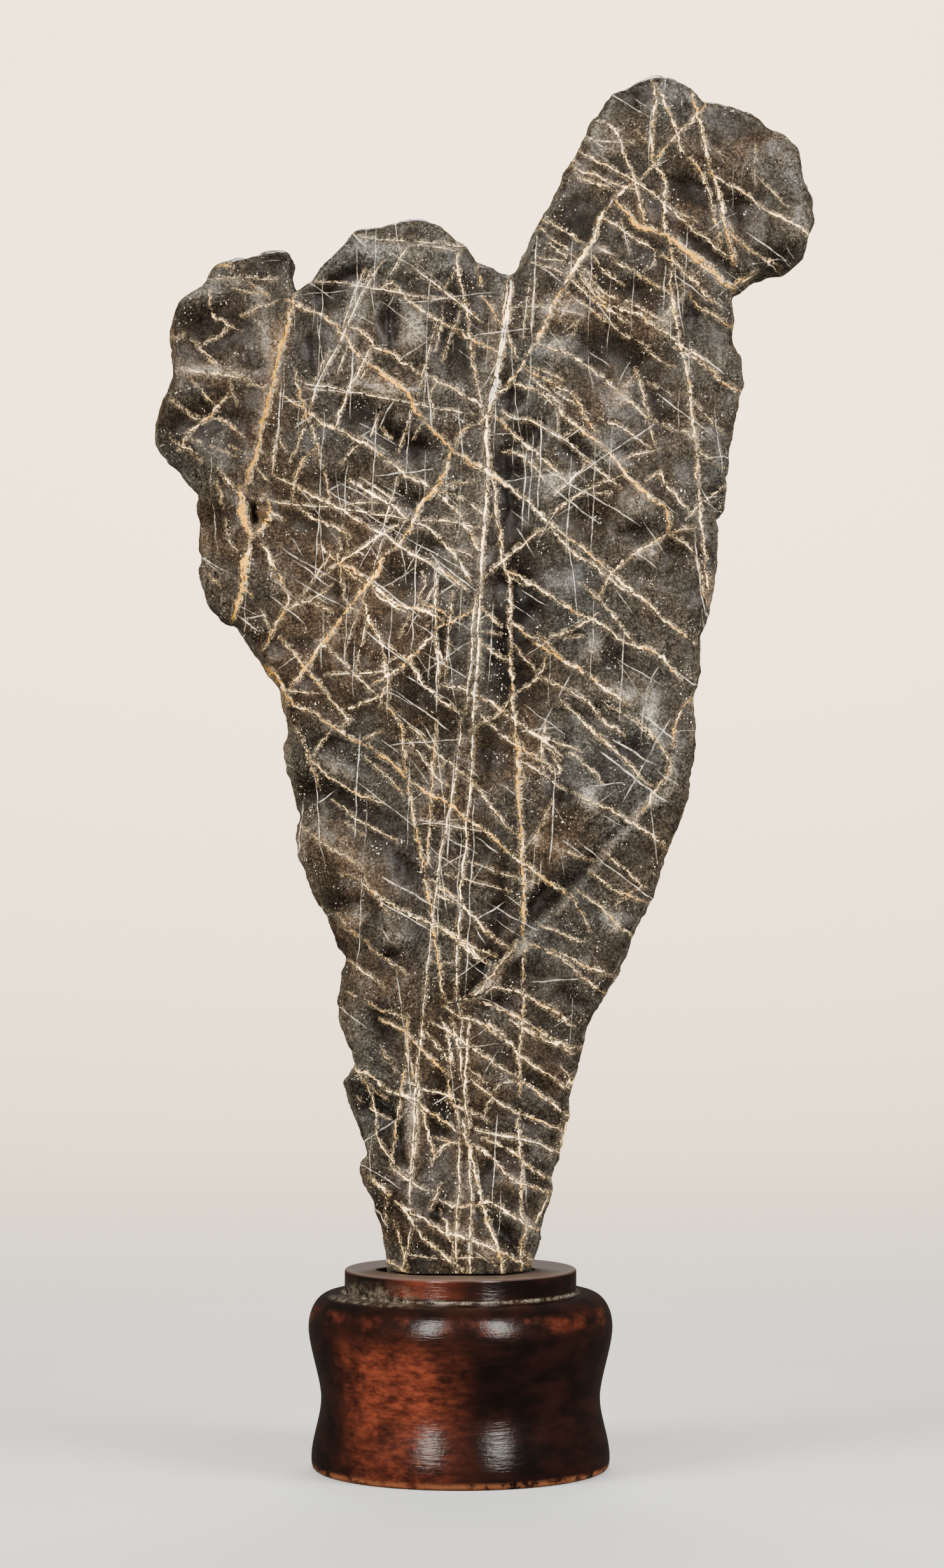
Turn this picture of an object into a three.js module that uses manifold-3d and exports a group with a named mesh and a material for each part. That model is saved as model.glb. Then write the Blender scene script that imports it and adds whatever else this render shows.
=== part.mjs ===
// A suiseki: an upright slab of veined limestone, wide and lobed above and narrow below, whose
// foot stands in the slotted collar of a small turned wooden stand.
// Millimetres. +Z is up, +X is to the viewer's right, and the viewer looks along +Y.
// The origin is the centre of the stand's underside.

import * as THREE from 'three';
import { mergeVertices } from 'three/addons/utils/BufferGeometryUtils.js';
import Module from 'manifold-3d';

// Driving dimensions of the whole
const OVERALL_HEIGHT = 295;
const REST_GAP = 0.3;

// Stand
const FOOT_RADIUS = 31.8;
const WAIST_RADIUS = 29.7;
const SHOULDER_RADIUS = 32.4;
const COLLAR_RADIUS = 24.7;
const FOOT_HEIGHT = 2.4;
const WAIST_HEIGHT = 15;
const SHOULDER_HEIGHT = 30;
const SHOULDER_TOP = 37.4;
const SHOULDER_FLAT_RADIUS = 27;
const COLLAR_TOP = 42.4;
const FOOT_EDGE_ROUNDING = 1.2;
const COLLAR_EDGE_ROUNDING = 0.7;
const FLARE_EASE = 4;
const SHOULDER_ROUND_RADIUS = 30.4;
const STAND_SIDES = 56;
const CURVE_STEPS = 4;

// Slot in the collar, an oval that the stone's foot fills from front to back
const SLOT_CENTRE = new THREE.Vector2(-1.1, -2.7);
const SLOT_HALF_LENGTH = 16.8;
const SLOT_HALF_WIDTH = 10.6;
const SLOT_DEPTH = 15;
const TENON_DEPTH = 14;
const TENON_PLAY = 0.45;
const SLOT_SIDES = 40;

// The stone's end in the slot: across from the stand's axis, and up from the end itself
const TENON_OUTLINE = [[14.6, 6], [13.4, 1], [8, 0], [-8, 0], [-13.6, 1], [-15.3, 6]];

// Stone: half its thickness in the slab and at the foot, towards the viewer and away, and how high
// above the collar the foot gives way to the slab
const SLAB_FRONT = 10;
const SLAB_BACK = 9;
const FOOT_FRONT = 13.6;
const FOOT_BACK = 12.2;
const FOOT_FORWARD = 2.7;
const FOOT_LENGTH = 36;

// How the stone's edge rounds over into its faces: the way in from the outline, and how square the
// rounding is (2 is a round one). Two stretches of the left edge have a broad bevel.
const EDGE_ROUNDING = 1.9;
const FOOT_ROUNDING = 10;
const BEVEL_ROUNDING = 7.4;
const ROUNDING_POWER = 2.3;
const BEVELS = [
	{ side: [-16, -4], bottom: [44, 62], top: [148, 166] },
	{ side: [-52, -44], bottom: [182, 192], top: [212, 222] },
];

// Along the edge the two faces meet on a line that wanders forward and back
const EDGE_WANDER = [
	{ height: 0.9, across: 0.13, up: 0.09, shift: 0 },
	{ height: 0.7, across: -0.21, up: 0.05, shift: 1 },
];

// How closely the points of the stone's surface lie. Between the outline and each face's rim one more
// ring of points rounds the edge.
const RIM_INSET = 1.1;
const SIDE_INSET = 0.4;
const SIDE_SHARE = 0.6;
const RIM_SPACING = 3.4;
const FRONT_SPACING = 3.9;
const BACK_SPACING = 5.5;
const SCATTER = 0.12;
const RIM_CLEARANCE = 0.58;
const OTHERS_CLEARANCE = 0.62;

// How the photograph is read. Its upright plane through the stand's axis is seen at one scale. What
// lies on the stone's front face is nearer the eye and so looks a little larger, and so does the
// part of the edge that the eye sees as the outline.
const PHOTO_TOP = 121;
const PHOTO_FLOOR = 2305;
const PHOTO_AXIS = 724;
const PHOTO_EYE = new THREE.Vector2(742, 1430);
const EYE_DISTANCE = 743;
const OUTLINE_FORWARD = 4.6;
const OUTLINE_SCALE = 1 - OUTLINE_FORWARD / EYE_DISTANCE;
const PHOTO_HEIGHT = PHOTO_FLOOR - PHOTO_EYE.y + (PHOTO_EYE.y - PHOTO_TOP) * OUTLINE_SCALE;
const MM_PER_PIXEL = OVERALL_HEIGHT / PHOTO_HEIGHT;

// The stone's outline in pixels of the photograph, from the slot up the left side, over the top and
// down the right side to the slot again.
const OUTLINE_LEFT = [
	[607, 1985], [603, 1940], [591, 1904], [579, 1873], [565, 1848], [569, 1829], [578, 1815], [567, 1785],
	[555, 1752], [543, 1721], [538, 1701], [549, 1688], [560, 1674], [557, 1656], [548, 1634], [532, 1601],
	[531, 1562], [537, 1534], [545, 1507], [543, 1494], [528, 1477], [522, 1457], [499, 1418], [484, 1380],
	[467, 1337], [462, 1311], [472, 1287], [461, 1248], [450, 1206], [451, 1150], [447, 1110], [437, 1079],
	[421, 1056], [407, 1030], [380, 999], [369, 982], [354, 976], [334, 959], [321, 932], [312, 900],
	[317, 872], [313, 846], [314, 824], [309, 800], [311, 779], [300, 760], [270, 729], [249, 706],
	[241, 683], [247, 650], [261, 617], [272, 594], [268, 535], [275, 482], [290, 465],
];
const OUTLINE_TOP = [
	[320, 449], [331, 427], [350, 411], [380, 407], [430, 394], [452, 396], [460, 410], [458, 435],
	[464, 459], [487, 445], [505, 418], [520, 401], [541, 384], [560, 363], [600, 360], [641, 350],
	[669, 347], [692, 356], [713, 375], [736, 388], [748, 413], [765, 420], [782, 429], [799, 435],
	[814, 425], [827, 395], [838, 374], [849, 344], [869, 316], [880, 290], [886, 268], [903, 250],
	[916, 219], [926, 198], [944, 172], [959, 149], [978, 145], [1004, 131], [1030, 121], [1055, 127],
	[1088, 144], [1105, 165], [1150, 168], [1182, 183], [1225, 213], [1249, 232],
];
const OUTLINE_RIGHT = [
	[1262, 280], [1277, 320], [1278, 347], [1270, 382], [1262, 400], [1238, 422], [1190, 432],
	[1170, 445], [1152, 461], [1155, 490], [1153, 518], [1150, 540], [1163, 568], [1171, 600], [1159, 622],
	[1157, 650], [1152, 685], [1140, 752], [1143, 778], [1139, 800], [1124, 810], [1127, 840], [1130, 860],
	[1123, 895], [1124, 918], [1117, 943], [1109, 978], [1100, 1003], [1099, 1057], [1093, 1092],
	[1091, 1165], [1093, 1186], [1085, 1215], [1082, 1245], [1070, 1288], [1058, 1315], [1046, 1340],
	[1031, 1390], [1025, 1413], [1007, 1447], [995, 1464], [985, 1498], [970, 1532], [951, 1562],
	[933, 1595], [911, 1642], [908, 1676], [901, 1695], [895, 1738], [881, 1798], [870, 1845],
	[865, 1888], [853, 1928], [846, 1958], [836, 1995],
];

// The raised layer at the lower right: its edge in pixels, its height and the width of its bevel
const LEDGE_EDGE = [
	[1056, 1150], [1050, 1228], [1020, 1258], [987, 1290], [936, 1350], [890, 1401], [859, 1432], [829, 1467],
	[803, 1496], [778, 1529], [752, 1556], [727, 1576], [698, 1590],
];
const LEDGE_HEIGHT = 1.9;
const LEDGE_BEVEL = 2.2;
const LEDGE_FADE = 26;
const LEDGE_END_SHARE = 0.12;
const LEDGE_SPACING = 2.8;
const LEDGE_PAIR_SPREAD = 0.55;

// Low swellings of both faces: how many waves cross, the longest one's length and height, and how
// much shorter and lower each next one is. The crests bend a little as they go up the stone.
const SWELL_WAVES = 7;
const SWELL_LENGTH = 74;
const SWELL_HEIGHT = 0.42;
const SWELL_SHORTENING = 0.78;
const SWELL_LOWERING = 0.8;
const SWELL_BEND = 0.12;
const SWELL_BEND_LENGTH = 19;
const FRONT_SWELL_START = 0.4;
const BACK_SWELL_START = 2;
const BACK_SWELL_SHARE = 1.3;
const GOLDEN_ANGLE = Math.PI * (3 - Math.sqrt(5));

// Soft hollows (positive) and swellings (negative) of the front face: place in pixels, reach and
// depth in millimetres. Each fades evenly all round, to almost nothing at one and a half reaches.
const DENT_FALLOFF = 1.43;
const DENTS = [
	{ at: [543, 428], reach: 5, depth: 1.5 },
	{ at: [521, 470], reach: 5, depth: 0.9 },
	{ at: [657, 516], reach: 4.5, depth: -1.1 },
	{ at: [622, 508], reach: 3.6, depth: 0.9 },
	{ at: [600, 623], reach: 6, depth: 0.9 },
	{ at: [1064, 301], reach: 6, depth: 1.1 },
	{ at: [1154, 326], reach: 8, depth: 1 },
	{ at: [1215, 360], reach: 7, depth: -0.9 },
	{ at: [914, 351], reach: 4, depth: -0.8 },
	{ at: [436, 412], reach: 5, depth: 1.3 },
	{ at: [330, 530], reach: 9, depth: 1.2 },
	{ at: [360, 595], reach: 8, depth: -0.9 },
	{ at: [300, 680], reach: 9, depth: 1.1 },
	{ at: [563, 1437], reach: 6, depth: -1 },
	{ at: [640, 1800], reach: 11, depth: 1 },
	{ at: [780, 1700], reach: 12, depth: -0.8 },
	{ at: [640, 1180], reach: 14, depth: 0.9 },
	{ at: [900, 640], reach: 15, depth: -0.9 },
	{ at: [700, 900], reach: 13, depth: 0.7 },
];

// The small open hollow on the rust seam at the left, and the rings of points that shape it: each
// one's share of the way to the rim, and how many points it has
const HOLLOW = { at: [404, 806], halfWidth: 1.8, halfLength: 3.2, depth: 2.8, lean: 0.15 };
const HOLLOW_RINGS = [[0.5, 7], [1.02, 11]];

const clamp = THREE.MathUtils.clamp;
const smoothstep = THREE.MathUtils.smoothstep;

// Where a point of the photograph is, drawn in towards the eye's own place in the picture by as much
// as it lies forward of the upright plane through the stand's axis
function placed([px, py], scale) {
	const { x, y } = PHOTO_EYE.clone().lerp(new THREE.Vector2(px, py), scale);
	return new THREE.Vector2(x - PHOTO_AXIS, PHOTO_FLOOR - y).multiplyScalar(MM_PER_PIXEL);
}

function onEdge(pixel) {
	return placed(pixel, OUTLINE_SCALE);
}

function onFace(pixel) {
	return placed(pixel, 1 - SLAB_FRONT / EYE_DISTANCE);
}

// A closed three.js geometry becomes a solid that can be cut, and a solid a geometry again.
const wasm = await Module();
wasm.setup();

function solidOf(geometry) {
	const bare = geometry.clone();
	bare.deleteAttribute('normal');
	bare.deleteAttribute('uv');
	const merged = mergeVertices(bare, 1e-4);
	const vertProperties = merged.attributes.position.array;
	return new wasm.Manifold(new wasm.Mesh({ numProp: 3, vertProperties, triVerts: merged.index.array }));
}

function geometryOf(solid) {
	const { vertProperties, triVerts } = solid.getMesh();
	const geometry = new THREE.BufferGeometry();
	geometry.setAttribute('position', new THREE.BufferAttribute(vertProperties, 3));
	geometry.setIndex(new THREE.BufferAttribute(triVerts, 1));
	geometry.computeVertexNormals();
	return geometry;
}

// Stand: a turned profile from the axis of the underside, round the foot, in at the waist, over the
// shoulder, up the collar's wall and back to the axis on top.
function standProfile() {
	const profile = new THREE.Path();
	const flareTop = FOOT_HEIGHT + FLARE_EASE;
	const waistStart = WAIST_HEIGHT - FLARE_EASE;
	const waistEnd = WAIST_HEIGHT + FLARE_EASE;
	const shoulderStart = SHOULDER_HEIGHT - FLARE_EASE;
	const shoulderEnd = SHOULDER_HEIGHT + FLARE_EASE;
	profile.moveTo(0, 0);
	profile.lineTo(FOOT_RADIUS - FOOT_EDGE_ROUNDING, 0);
	profile.quadraticCurveTo(FOOT_RADIUS, 0, FOOT_RADIUS, FOOT_HEIGHT);
	profile.bezierCurveTo(FOOT_RADIUS, flareTop, WAIST_RADIUS, waistStart, WAIST_RADIUS, WAIST_HEIGHT);
	profile.bezierCurveTo(
		WAIST_RADIUS, waistEnd,
		SHOULDER_RADIUS, shoulderStart,
		SHOULDER_RADIUS, SHOULDER_HEIGHT,
	);
	profile.bezierCurveTo(
		SHOULDER_RADIUS, shoulderEnd,
		SHOULDER_ROUND_RADIUS, SHOULDER_TOP,
		SHOULDER_FLAT_RADIUS, SHOULDER_TOP,
	);
	profile.lineTo(COLLAR_RADIUS, SHOULDER_TOP);
	profile.lineTo(COLLAR_RADIUS, COLLAR_TOP - COLLAR_EDGE_ROUNDING);
	profile.quadraticCurveTo(COLLAR_RADIUS, COLLAR_TOP, COLLAR_RADIUS - COLLAR_EDGE_ROUNDING, COLLAR_TOP);
	profile.lineTo(0, COLLAR_TOP);
	return profile.getPoints(CURVE_STEPS);
}

function makeStand() {
	const turned = new THREE.LatheGeometry(standProfile(), STAND_SIDES).rotateX(Math.PI / 2);
	const oval = new THREE.Shape();
	oval.absellipse(SLOT_CENTRE.x, SLOT_CENTRE.y, SLOT_HALF_LENGTH, SLOT_HALF_WIDTH, 0, Math.PI * 2);
	const settings = { depth: SLOT_DEPTH + 1, bevelEnabled: false, curveSegments: SLOT_SIDES };
	const slot = new THREE.ExtrudeGeometry(oval, settings).translate(0, 0, COLLAR_TOP - SLOT_DEPTH);
	return geometryOf(solidOf(turned).subtract(solidOf(slot)));
}

// Stone: its outline as a ring of points, counterclockwise as the viewer sees it, on a smooth curve
// through the outline's points. Below the collar's top it goes on as the end that stands in the slot.
function stoneRing() {
	const end = COLLAR_TOP - TENON_DEPTH;
	const corners = [...OUTLINE_LEFT, ...OUTLINE_TOP, ...OUTLINE_RIGHT].map(onEdge);
	corners.push(...TENON_OUTLINE.map(([x, up]) => new THREE.Vector2(x, end + up)));
	corners.reverse();
	const upright = corners.map(({ x, y }) => new THREE.Vector3(x, 0, y));
	const curve = new THREE.CatmullRomCurve3(upright, true, 'centripetal');
	const ring = [];
	corners.forEach((corner, index) => {
		const next = corners[(index + 1) % corners.length];
		const steps = Math.max(1, Math.round(corner.distanceTo(next) / RIM_SPACING));
		for (let step = 0; step < steps; step++) {
			const { x, z } = curve.getPoint((index + step / steps) / corners.length);
			ring.push(new THREE.Vector2(x, z));
		}
	});
	return ring;
}

// The ring drawn in by a short way, square to the ring at each of its points
function drawnIn(ring, inset) {
	return ring.map((point, index) => {
		const before = ring[(index + ring.length - 1) % ring.length];
		const after = ring[(index + 1) % ring.length];
		const along = after.clone().sub(before).normalize();
		return new THREE.Vector2(point.x - along.y * inset, point.y + along.x * inset);
	});
}

// The nearest place of a line of points: how far it is, on which side of the line the point lies
// (positive on the right of the line's direction), and what share of the line comes before it.
function nearestOn(line, point) {
	let nearest = { distance: Infinity, side: 1, share: 0 };
	for (let index = 0; index + 1 < line.length; index++) {
		const stretch = line[index + 1].clone().sub(line[index]);
		const away = point.clone().sub(line[index]);
		const part = clamp(away.dot(stretch) / stretch.lengthSq(), 0, 1);
		const distance = away.distanceTo(stretch.clone().multiplyScalar(part));
		if (distance < nearest.distance) {
			const side = stretch.cross(away) < 0 ? 1 : -1;
			nearest = { distance, side, share: (index + part) / (line.length - 1) };
		}
	}
	return nearest;
}

function isInside(ring, { x, y }) {
	let inside = false;
	ring.forEach((from, index) => {
		const to = ring[(index + 1) % ring.length];
		const crosses = from.y > y !== to.y > y;
		if (crosses && x < from.x + ((to.x - from.x) * (y - from.y)) / (to.y - from.y)) inside = !inside;
	});
	return inside;
}

const outline = stoneRing();
const closedOutline = [...outline, outline[0]];
const ledge = LEDGE_EDGE.map(onFace);

// How much of the stone's foot a height belongs to: 1 at the collar, 0 in the slab
function footShare(z) {
	return 1 - smoothstep(z, COLLAR_TOP, COLLAR_TOP + FOOT_LENGTH);
}

// How far in from the outline a face has rounded over: most at the foot, and more along the bevels
function roundingAt(x, z) {
	const bevelShare = BEVELS.reduce((share, { side, bottom, top }) => {
		return Math.max(share, (1 - smoothstep(x, ...side)) * smoothstep(z, ...bottom) * (1 - smoothstep(z, ...top)));
	}, 0);
	const slabRounding = THREE.MathUtils.lerp(EDGE_ROUNDING, BEVEL_ROUNDING, bevelShare);
	return THREE.MathUtils.lerp(slabRounding, FOOT_ROUNDING, footShare(z));
}

// From 0 on the outline to 1 where the face is flat
function crownAt(x, z, inset) {
	const towardsEdge = 1 - clamp(inset / roundingAt(x, z), 0, 1);
	return Math.pow(1 - Math.pow(towardsEdge, ROUNDING_POWER), 1 / ROUNDING_POWER);
}

function ledgeHeight(point) {
	const { distance, side, share } = nearestOn(ledge, point);
	const step = smoothstep(side * distance, -LEDGE_BEVEL / 2, LEDGE_BEVEL / 2) - 0.5;
	const ends = clamp(Math.min(share, 1 - share) / LEDGE_END_SHARE, 0, 1);
	const fade = 1 - smoothstep(distance, LEDGE_BEVEL, LEDGE_FADE);
	return LEDGE_HEIGHT * step * ends * fade;
}

// Where a point lies in the small hollow: 0 at its middle, 1 on its rim
function hollowShare(point) {
	const away = point.clone().sub(onFace(HOLLOW.at)).rotateAround(new THREE.Vector2(), -HOLLOW.lean);
	return Math.hypot(away.x / HOLLOW.halfWidth, away.y / HOLLOW.halfLength);
}

// Low swellings of a face: waves that cross at the golden angle, so that no stripes show
function swellAt({ x, y: z }, start) {
	let swell = 0;
	for (let wave = 0; wave < SWELL_WAVES; wave++) {
		const angle = start + wave * GOLDEN_ANGLE;
		const length = SWELL_LENGTH * Math.pow(SWELL_SHORTENING, wave);
		const height = SWELL_HEIGHT * Math.pow(SWELL_LOWERING, wave);
		const bend = SWELL_BEND * length * Math.sin(z / SWELL_BEND_LENGTH + wave);
		const across = x * Math.cos(angle) + z * Math.sin(angle) + bend;
		swell += height * Math.sin((across / length) * Math.PI * 2 + wave * GOLDEN_ANGLE);
	}
	return swell;
}

function dentAt(point) {
	return DENTS.reduce((sum, { at, reach, depth }) => {
		const share = point.distanceTo(onFace(at)) / reach;
		return sum + depth * Math.exp(-DENT_FALLOFF * share * share);
	}, 0);
}

function frontHeight(point, inset) {
	const { x, y: z } = point;
	const hollow = HOLLOW.depth * (1 - smoothstep(hollowShare(point), 0.5, 1));
	const thickness = THREE.MathUtils.lerp(SLAB_FRONT, FOOT_FRONT, footShare(z));
	const relief = swellAt(point, FRONT_SWELL_START) - dentAt(point) + ledgeHeight(point);
	return (thickness + relief) * crownAt(x, z, inset) - hollow;
}

function backHeight(point, inset) {
	const { x, y: z } = point;
	const thickness = THREE.MathUtils.lerp(SLAB_BACK, FOOT_BACK, footShare(z));
	return (thickness + BACK_SWELL_SHARE * swellAt(point, BACK_SWELL_START)) * crownAt(x, z, inset);
}

// The depth at which the slab's two sides meet along its edge: it wanders a little, and the foot
// stands forward of the slab.
function ridgeDepth({ x, y: z }) {
	const wander = EDGE_WANDER.reduce((sum, { height, across, up, shift }) => {
		return sum + height * Math.sin(across * x + up * z + shift);
	}, 0);
	return wander - FOOT_FORWARD * footShare(z);
}

// Points spread evenly inside the outline in staggered rows, each moved a little from its place so
// that no four lie on one circle. Those too near the edge or to the other points given are left out.
function spreadPoints(spacing, others) {
	const box = new THREE.Box2().setFromPoints(outline);
	const rowHeight = (spacing * Math.sqrt(3)) / 2;
	const points = [];
	for (let row = 0; box.min.y + row * rowHeight < box.max.y; row++) {
		for (let column = 0; box.min.x + column * spacing < box.max.x; column++) {
			const aside = (row % 2) / 2 + SCATTER * Math.sin(7.3 * row + 3.1 * column);
			const above = SCATTER * Math.sin(2.9 * row - 5.7 * column);
			const point = new THREE.Vector2(
				box.min.x + (column + aside) * spacing,
				box.min.y + (row + above) * rowHeight,
			);
			const clear = nearestOn(closedOutline, point).distance > RIM_INSET + RIM_CLEARANCE * spacing;
			const alone = others.every((other) => other.distanceTo(point) > OTHERS_CLEARANCE * spacing);
			if (clear && alone && isInside(outline, point)) points.push(point);
		}
	}
	return points;
}

// Pairs of points either side of the ledge's edge, so that its bevel is crisp
function ledgePoints() {
	const curve = new THREE.CatmullRomCurve3(ledge.map(({ x, y }) => new THREE.Vector3(x, 0, y)));
	const steps = Math.round(curve.getLength() / LEDGE_SPACING);
	const points = [];
	for (let step = 0; step <= steps; step++) {
		const at = curve.getPointAt(step / steps);
		const along = curve.getTangentAt(step / steps).multiplyScalar(LEDGE_PAIR_SPREAD * LEDGE_BEVEL);
		points.push(new THREE.Vector2(at.x - along.z, at.z + along.x));
		points.push(new THREE.Vector2(at.x + along.z, at.z - along.x));
	}
	return points;
}

function hollowPoints() {
	const centre = onFace(HOLLOW.at);
	const points = [centre];
	for (const [share, count] of HOLLOW_RINGS) {
		for (let turn = 0; turn < count; turn++) {
			const angle = (turn / count) * Math.PI * 2 + share;
			const x = share * HOLLOW.halfWidth * Math.cos(angle);
			const y = share * HOLLOW.halfLength * Math.sin(angle);
			points.push(new THREE.Vector2(x, y).rotateAround(new THREE.Vector2(), HOLLOW.lean).add(centre));
		}
	}
	return points;
}

// The circle through three of the points
function circled(points, a, b, c) {
	const [p, q, r] = [points[a], points[b], points[c]];
	const twiceArea = 2 * (p.x * (q.y - r.y) + q.x * (r.y - p.y) + r.x * (p.y - q.y));
	const [pp, qq, rr] = [p.lengthSq(), q.lengthSq(), r.lengthSq()];
	const centre = new THREE.Vector2(
		(pp * (q.y - r.y) + qq * (r.y - p.y) + rr * (p.y - q.y)) / twiceArea,
		(pp * (r.x - q.x) + qq * (p.x - r.x) + rr * (q.x - p.x)) / twiceArea,
	);
	return { corners: [a, b, c], centre, reach: centre.distanceTo(p) };
}

// Joins the points into well-shaped triangles (Bowyer and Watson's way): a new point removes the
// triangles whose circles hold it, and is joined to the edge of the hole that they leave.
function triangulate(given) {
	const far = 1e4;
	const count = given.length;
	const around = [new THREE.Vector2(-far, -far), new THREE.Vector2(far, -far), new THREE.Vector2(0, far)];
	const points = [...given, ...around];
	let triangles = [circled(points, count, count + 1, count + 2)];
	given.forEach((point, index) => {
		const hole = new Map();
		triangles = triangles.filter(({ corners, centre, reach }) => {
			if (centre.distanceTo(point) > reach) return true;
			corners.forEach((from, corner) => {
				const to = corners[(corner + 1) % 3];
				if (!hole.delete(`${to} ${from}`)) hole.set(`${from} ${to}`, [from, to]);
			});
			return false;
		});
		for (const [from, to] of hole.values()) triangles.push(circled(points, from, to, index));
	});
	return triangles.map(({ corners }) => corners).filter((corners) => Math.max(...corners) < count);
}

// One face of the slab: the drawn-in ring and the points inside it, joined, with a height for each
function makeSheet(extra, spacing) {
	const rim = drawnIn(outline, RIM_INSET);
	const points = [...rim, ...extra, ...spreadPoints(spacing, extra)];
	const triangles = triangulate(points).filter((corners) => {
		const middle = new THREE.Vector2();
		corners.forEach((corner) => middle.addScaledVector(points[corner], 1 / 3));
		return isInside(rim, middle);
	});
	return { points, triangles };
}

function makeSlab() {
	const front = makeSheet([...ledgePoints(), ...hollowPoints()], FRONT_SPACING);
	const back = makeSheet([], BACK_SPACING);
	const places = outline.map((point) => [point.x, ridgeDepth(point), point.y]);
	const addSheet = (points, depthOf) => {
		const first = places.length;
		points.forEach((point) => {
			const inset = nearestOn(closedOutline, point).distance;
			const middle = -FOOT_FORWARD * footShare(point.y);
			places.push([point.x, middle + depthOf(point, inset), point.y]);
		});
		return first;
	};
	const addSideRing = (firstRim) => {
		const first = places.length;
		drawnIn(outline, SIDE_INSET).forEach((point, index) => {
			const [ridge, rim] = [places[index][1], places[firstRim + index][1]];
			places.push([point.x, THREE.MathUtils.lerp(ridge, rim, SIDE_SHARE), point.y]);
		});
		return first;
	};
	const firstFront = addSheet(front.points, (point, inset) => -frontHeight(point, inset));
	const firstBack = addSheet(back.points, backHeight);
	const frontSide = addSideRing(firstFront);
	const backSide = addSideRing(firstBack);
	const faces = [];
	const joinRings = (outer, inner, turned) => outline.forEach((_, here) => {
		const next = (here + 1) % outline.length;
		const corners = [outer + here, outer + next, inner + next, outer + here, inner + next, inner + here];
		faces.push(...(turned ? corners.reverse() : corners));
	});
	front.triangles.forEach(([a, b, c]) => faces.push(firstFront + a, firstFront + b, firstFront + c));
	back.triangles.forEach(([a, b, c]) => faces.push(firstBack + a, firstBack + c, firstBack + b));
	joinRings(0, frontSide, false);
	joinRings(frontSide, firstFront, false);
	joinRings(0, backSide, true);
	joinRings(backSide, firstBack, true);
	const geometry = new THREE.BufferGeometry();
	geometry.setAttribute('position', new THREE.Float32BufferAttribute(places.flat(), 3));
	geometry.setIndex(faces);
	return geometry;
}

// The slab's lower end is ground down to an oval that fits the slot, up to just above the collar.
function makeStone() {
	const ground = new THREE.Shape().absarc(0, 0, COLLAR_RADIUS * 2, 0, Math.PI * 2);
	const kept = new THREE.Path();
	const { x, y } = SLOT_CENTRE;
	kept.absellipse(x, y, SLOT_HALF_LENGTH - TENON_PLAY, SLOT_HALF_WIDTH - TENON_PLAY, 0, Math.PI * 2);
	ground.holes.push(kept);
	const settings = { depth: COLLAR_TOP + REST_GAP, bevelEnabled: false, curveSegments: SLOT_SIDES };
	const around = new THREE.ExtrudeGeometry(ground, settings);
	return geometryOf(solidOf(makeSlab()).subtract(solidOf(around)));
}

function makePiece(name, geometry, color, roughness) {
	const material = new THREE.MeshStandardMaterial({ color, roughness, metalness: 0 });
	const mesh = new THREE.Mesh(geometry, material);
	mesh.name = name;
	return mesh;
}

const suiseki = new THREE.Group();
suiseki.add(makePiece('stone', makeStone(), 0x4d463f, 0.35));
suiseki.add(makePiece('stand', makeStand(), 0x3a1a10, 0.2));

export default suiseki;
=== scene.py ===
# A suiseki: an upright slab of dark limestone, crossed by pale and rust veins, that stands on its
# narrow foot in a small turned and lacquered hardwood stand.
import math
import bmesh
import bpy
import numpy as np
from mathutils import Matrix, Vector, noise


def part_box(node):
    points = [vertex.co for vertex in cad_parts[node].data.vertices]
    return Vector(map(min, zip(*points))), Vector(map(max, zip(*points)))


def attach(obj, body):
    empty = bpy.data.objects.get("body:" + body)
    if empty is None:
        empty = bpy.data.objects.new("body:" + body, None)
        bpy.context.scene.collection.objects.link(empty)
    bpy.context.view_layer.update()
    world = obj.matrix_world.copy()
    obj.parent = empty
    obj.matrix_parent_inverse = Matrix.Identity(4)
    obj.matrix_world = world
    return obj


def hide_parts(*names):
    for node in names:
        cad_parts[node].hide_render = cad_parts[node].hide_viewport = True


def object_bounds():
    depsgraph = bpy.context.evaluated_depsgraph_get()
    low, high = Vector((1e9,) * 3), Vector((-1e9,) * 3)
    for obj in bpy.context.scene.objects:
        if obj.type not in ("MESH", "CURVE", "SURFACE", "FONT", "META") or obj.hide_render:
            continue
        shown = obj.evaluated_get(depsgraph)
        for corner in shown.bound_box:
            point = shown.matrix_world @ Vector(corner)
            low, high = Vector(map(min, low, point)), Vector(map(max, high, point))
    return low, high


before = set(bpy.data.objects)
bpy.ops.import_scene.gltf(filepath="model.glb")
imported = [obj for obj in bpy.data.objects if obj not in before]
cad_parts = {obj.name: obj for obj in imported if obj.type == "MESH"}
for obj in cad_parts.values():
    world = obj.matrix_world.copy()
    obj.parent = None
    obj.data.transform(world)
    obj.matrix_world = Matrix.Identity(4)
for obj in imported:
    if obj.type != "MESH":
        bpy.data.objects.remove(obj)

cad_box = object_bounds()


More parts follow.
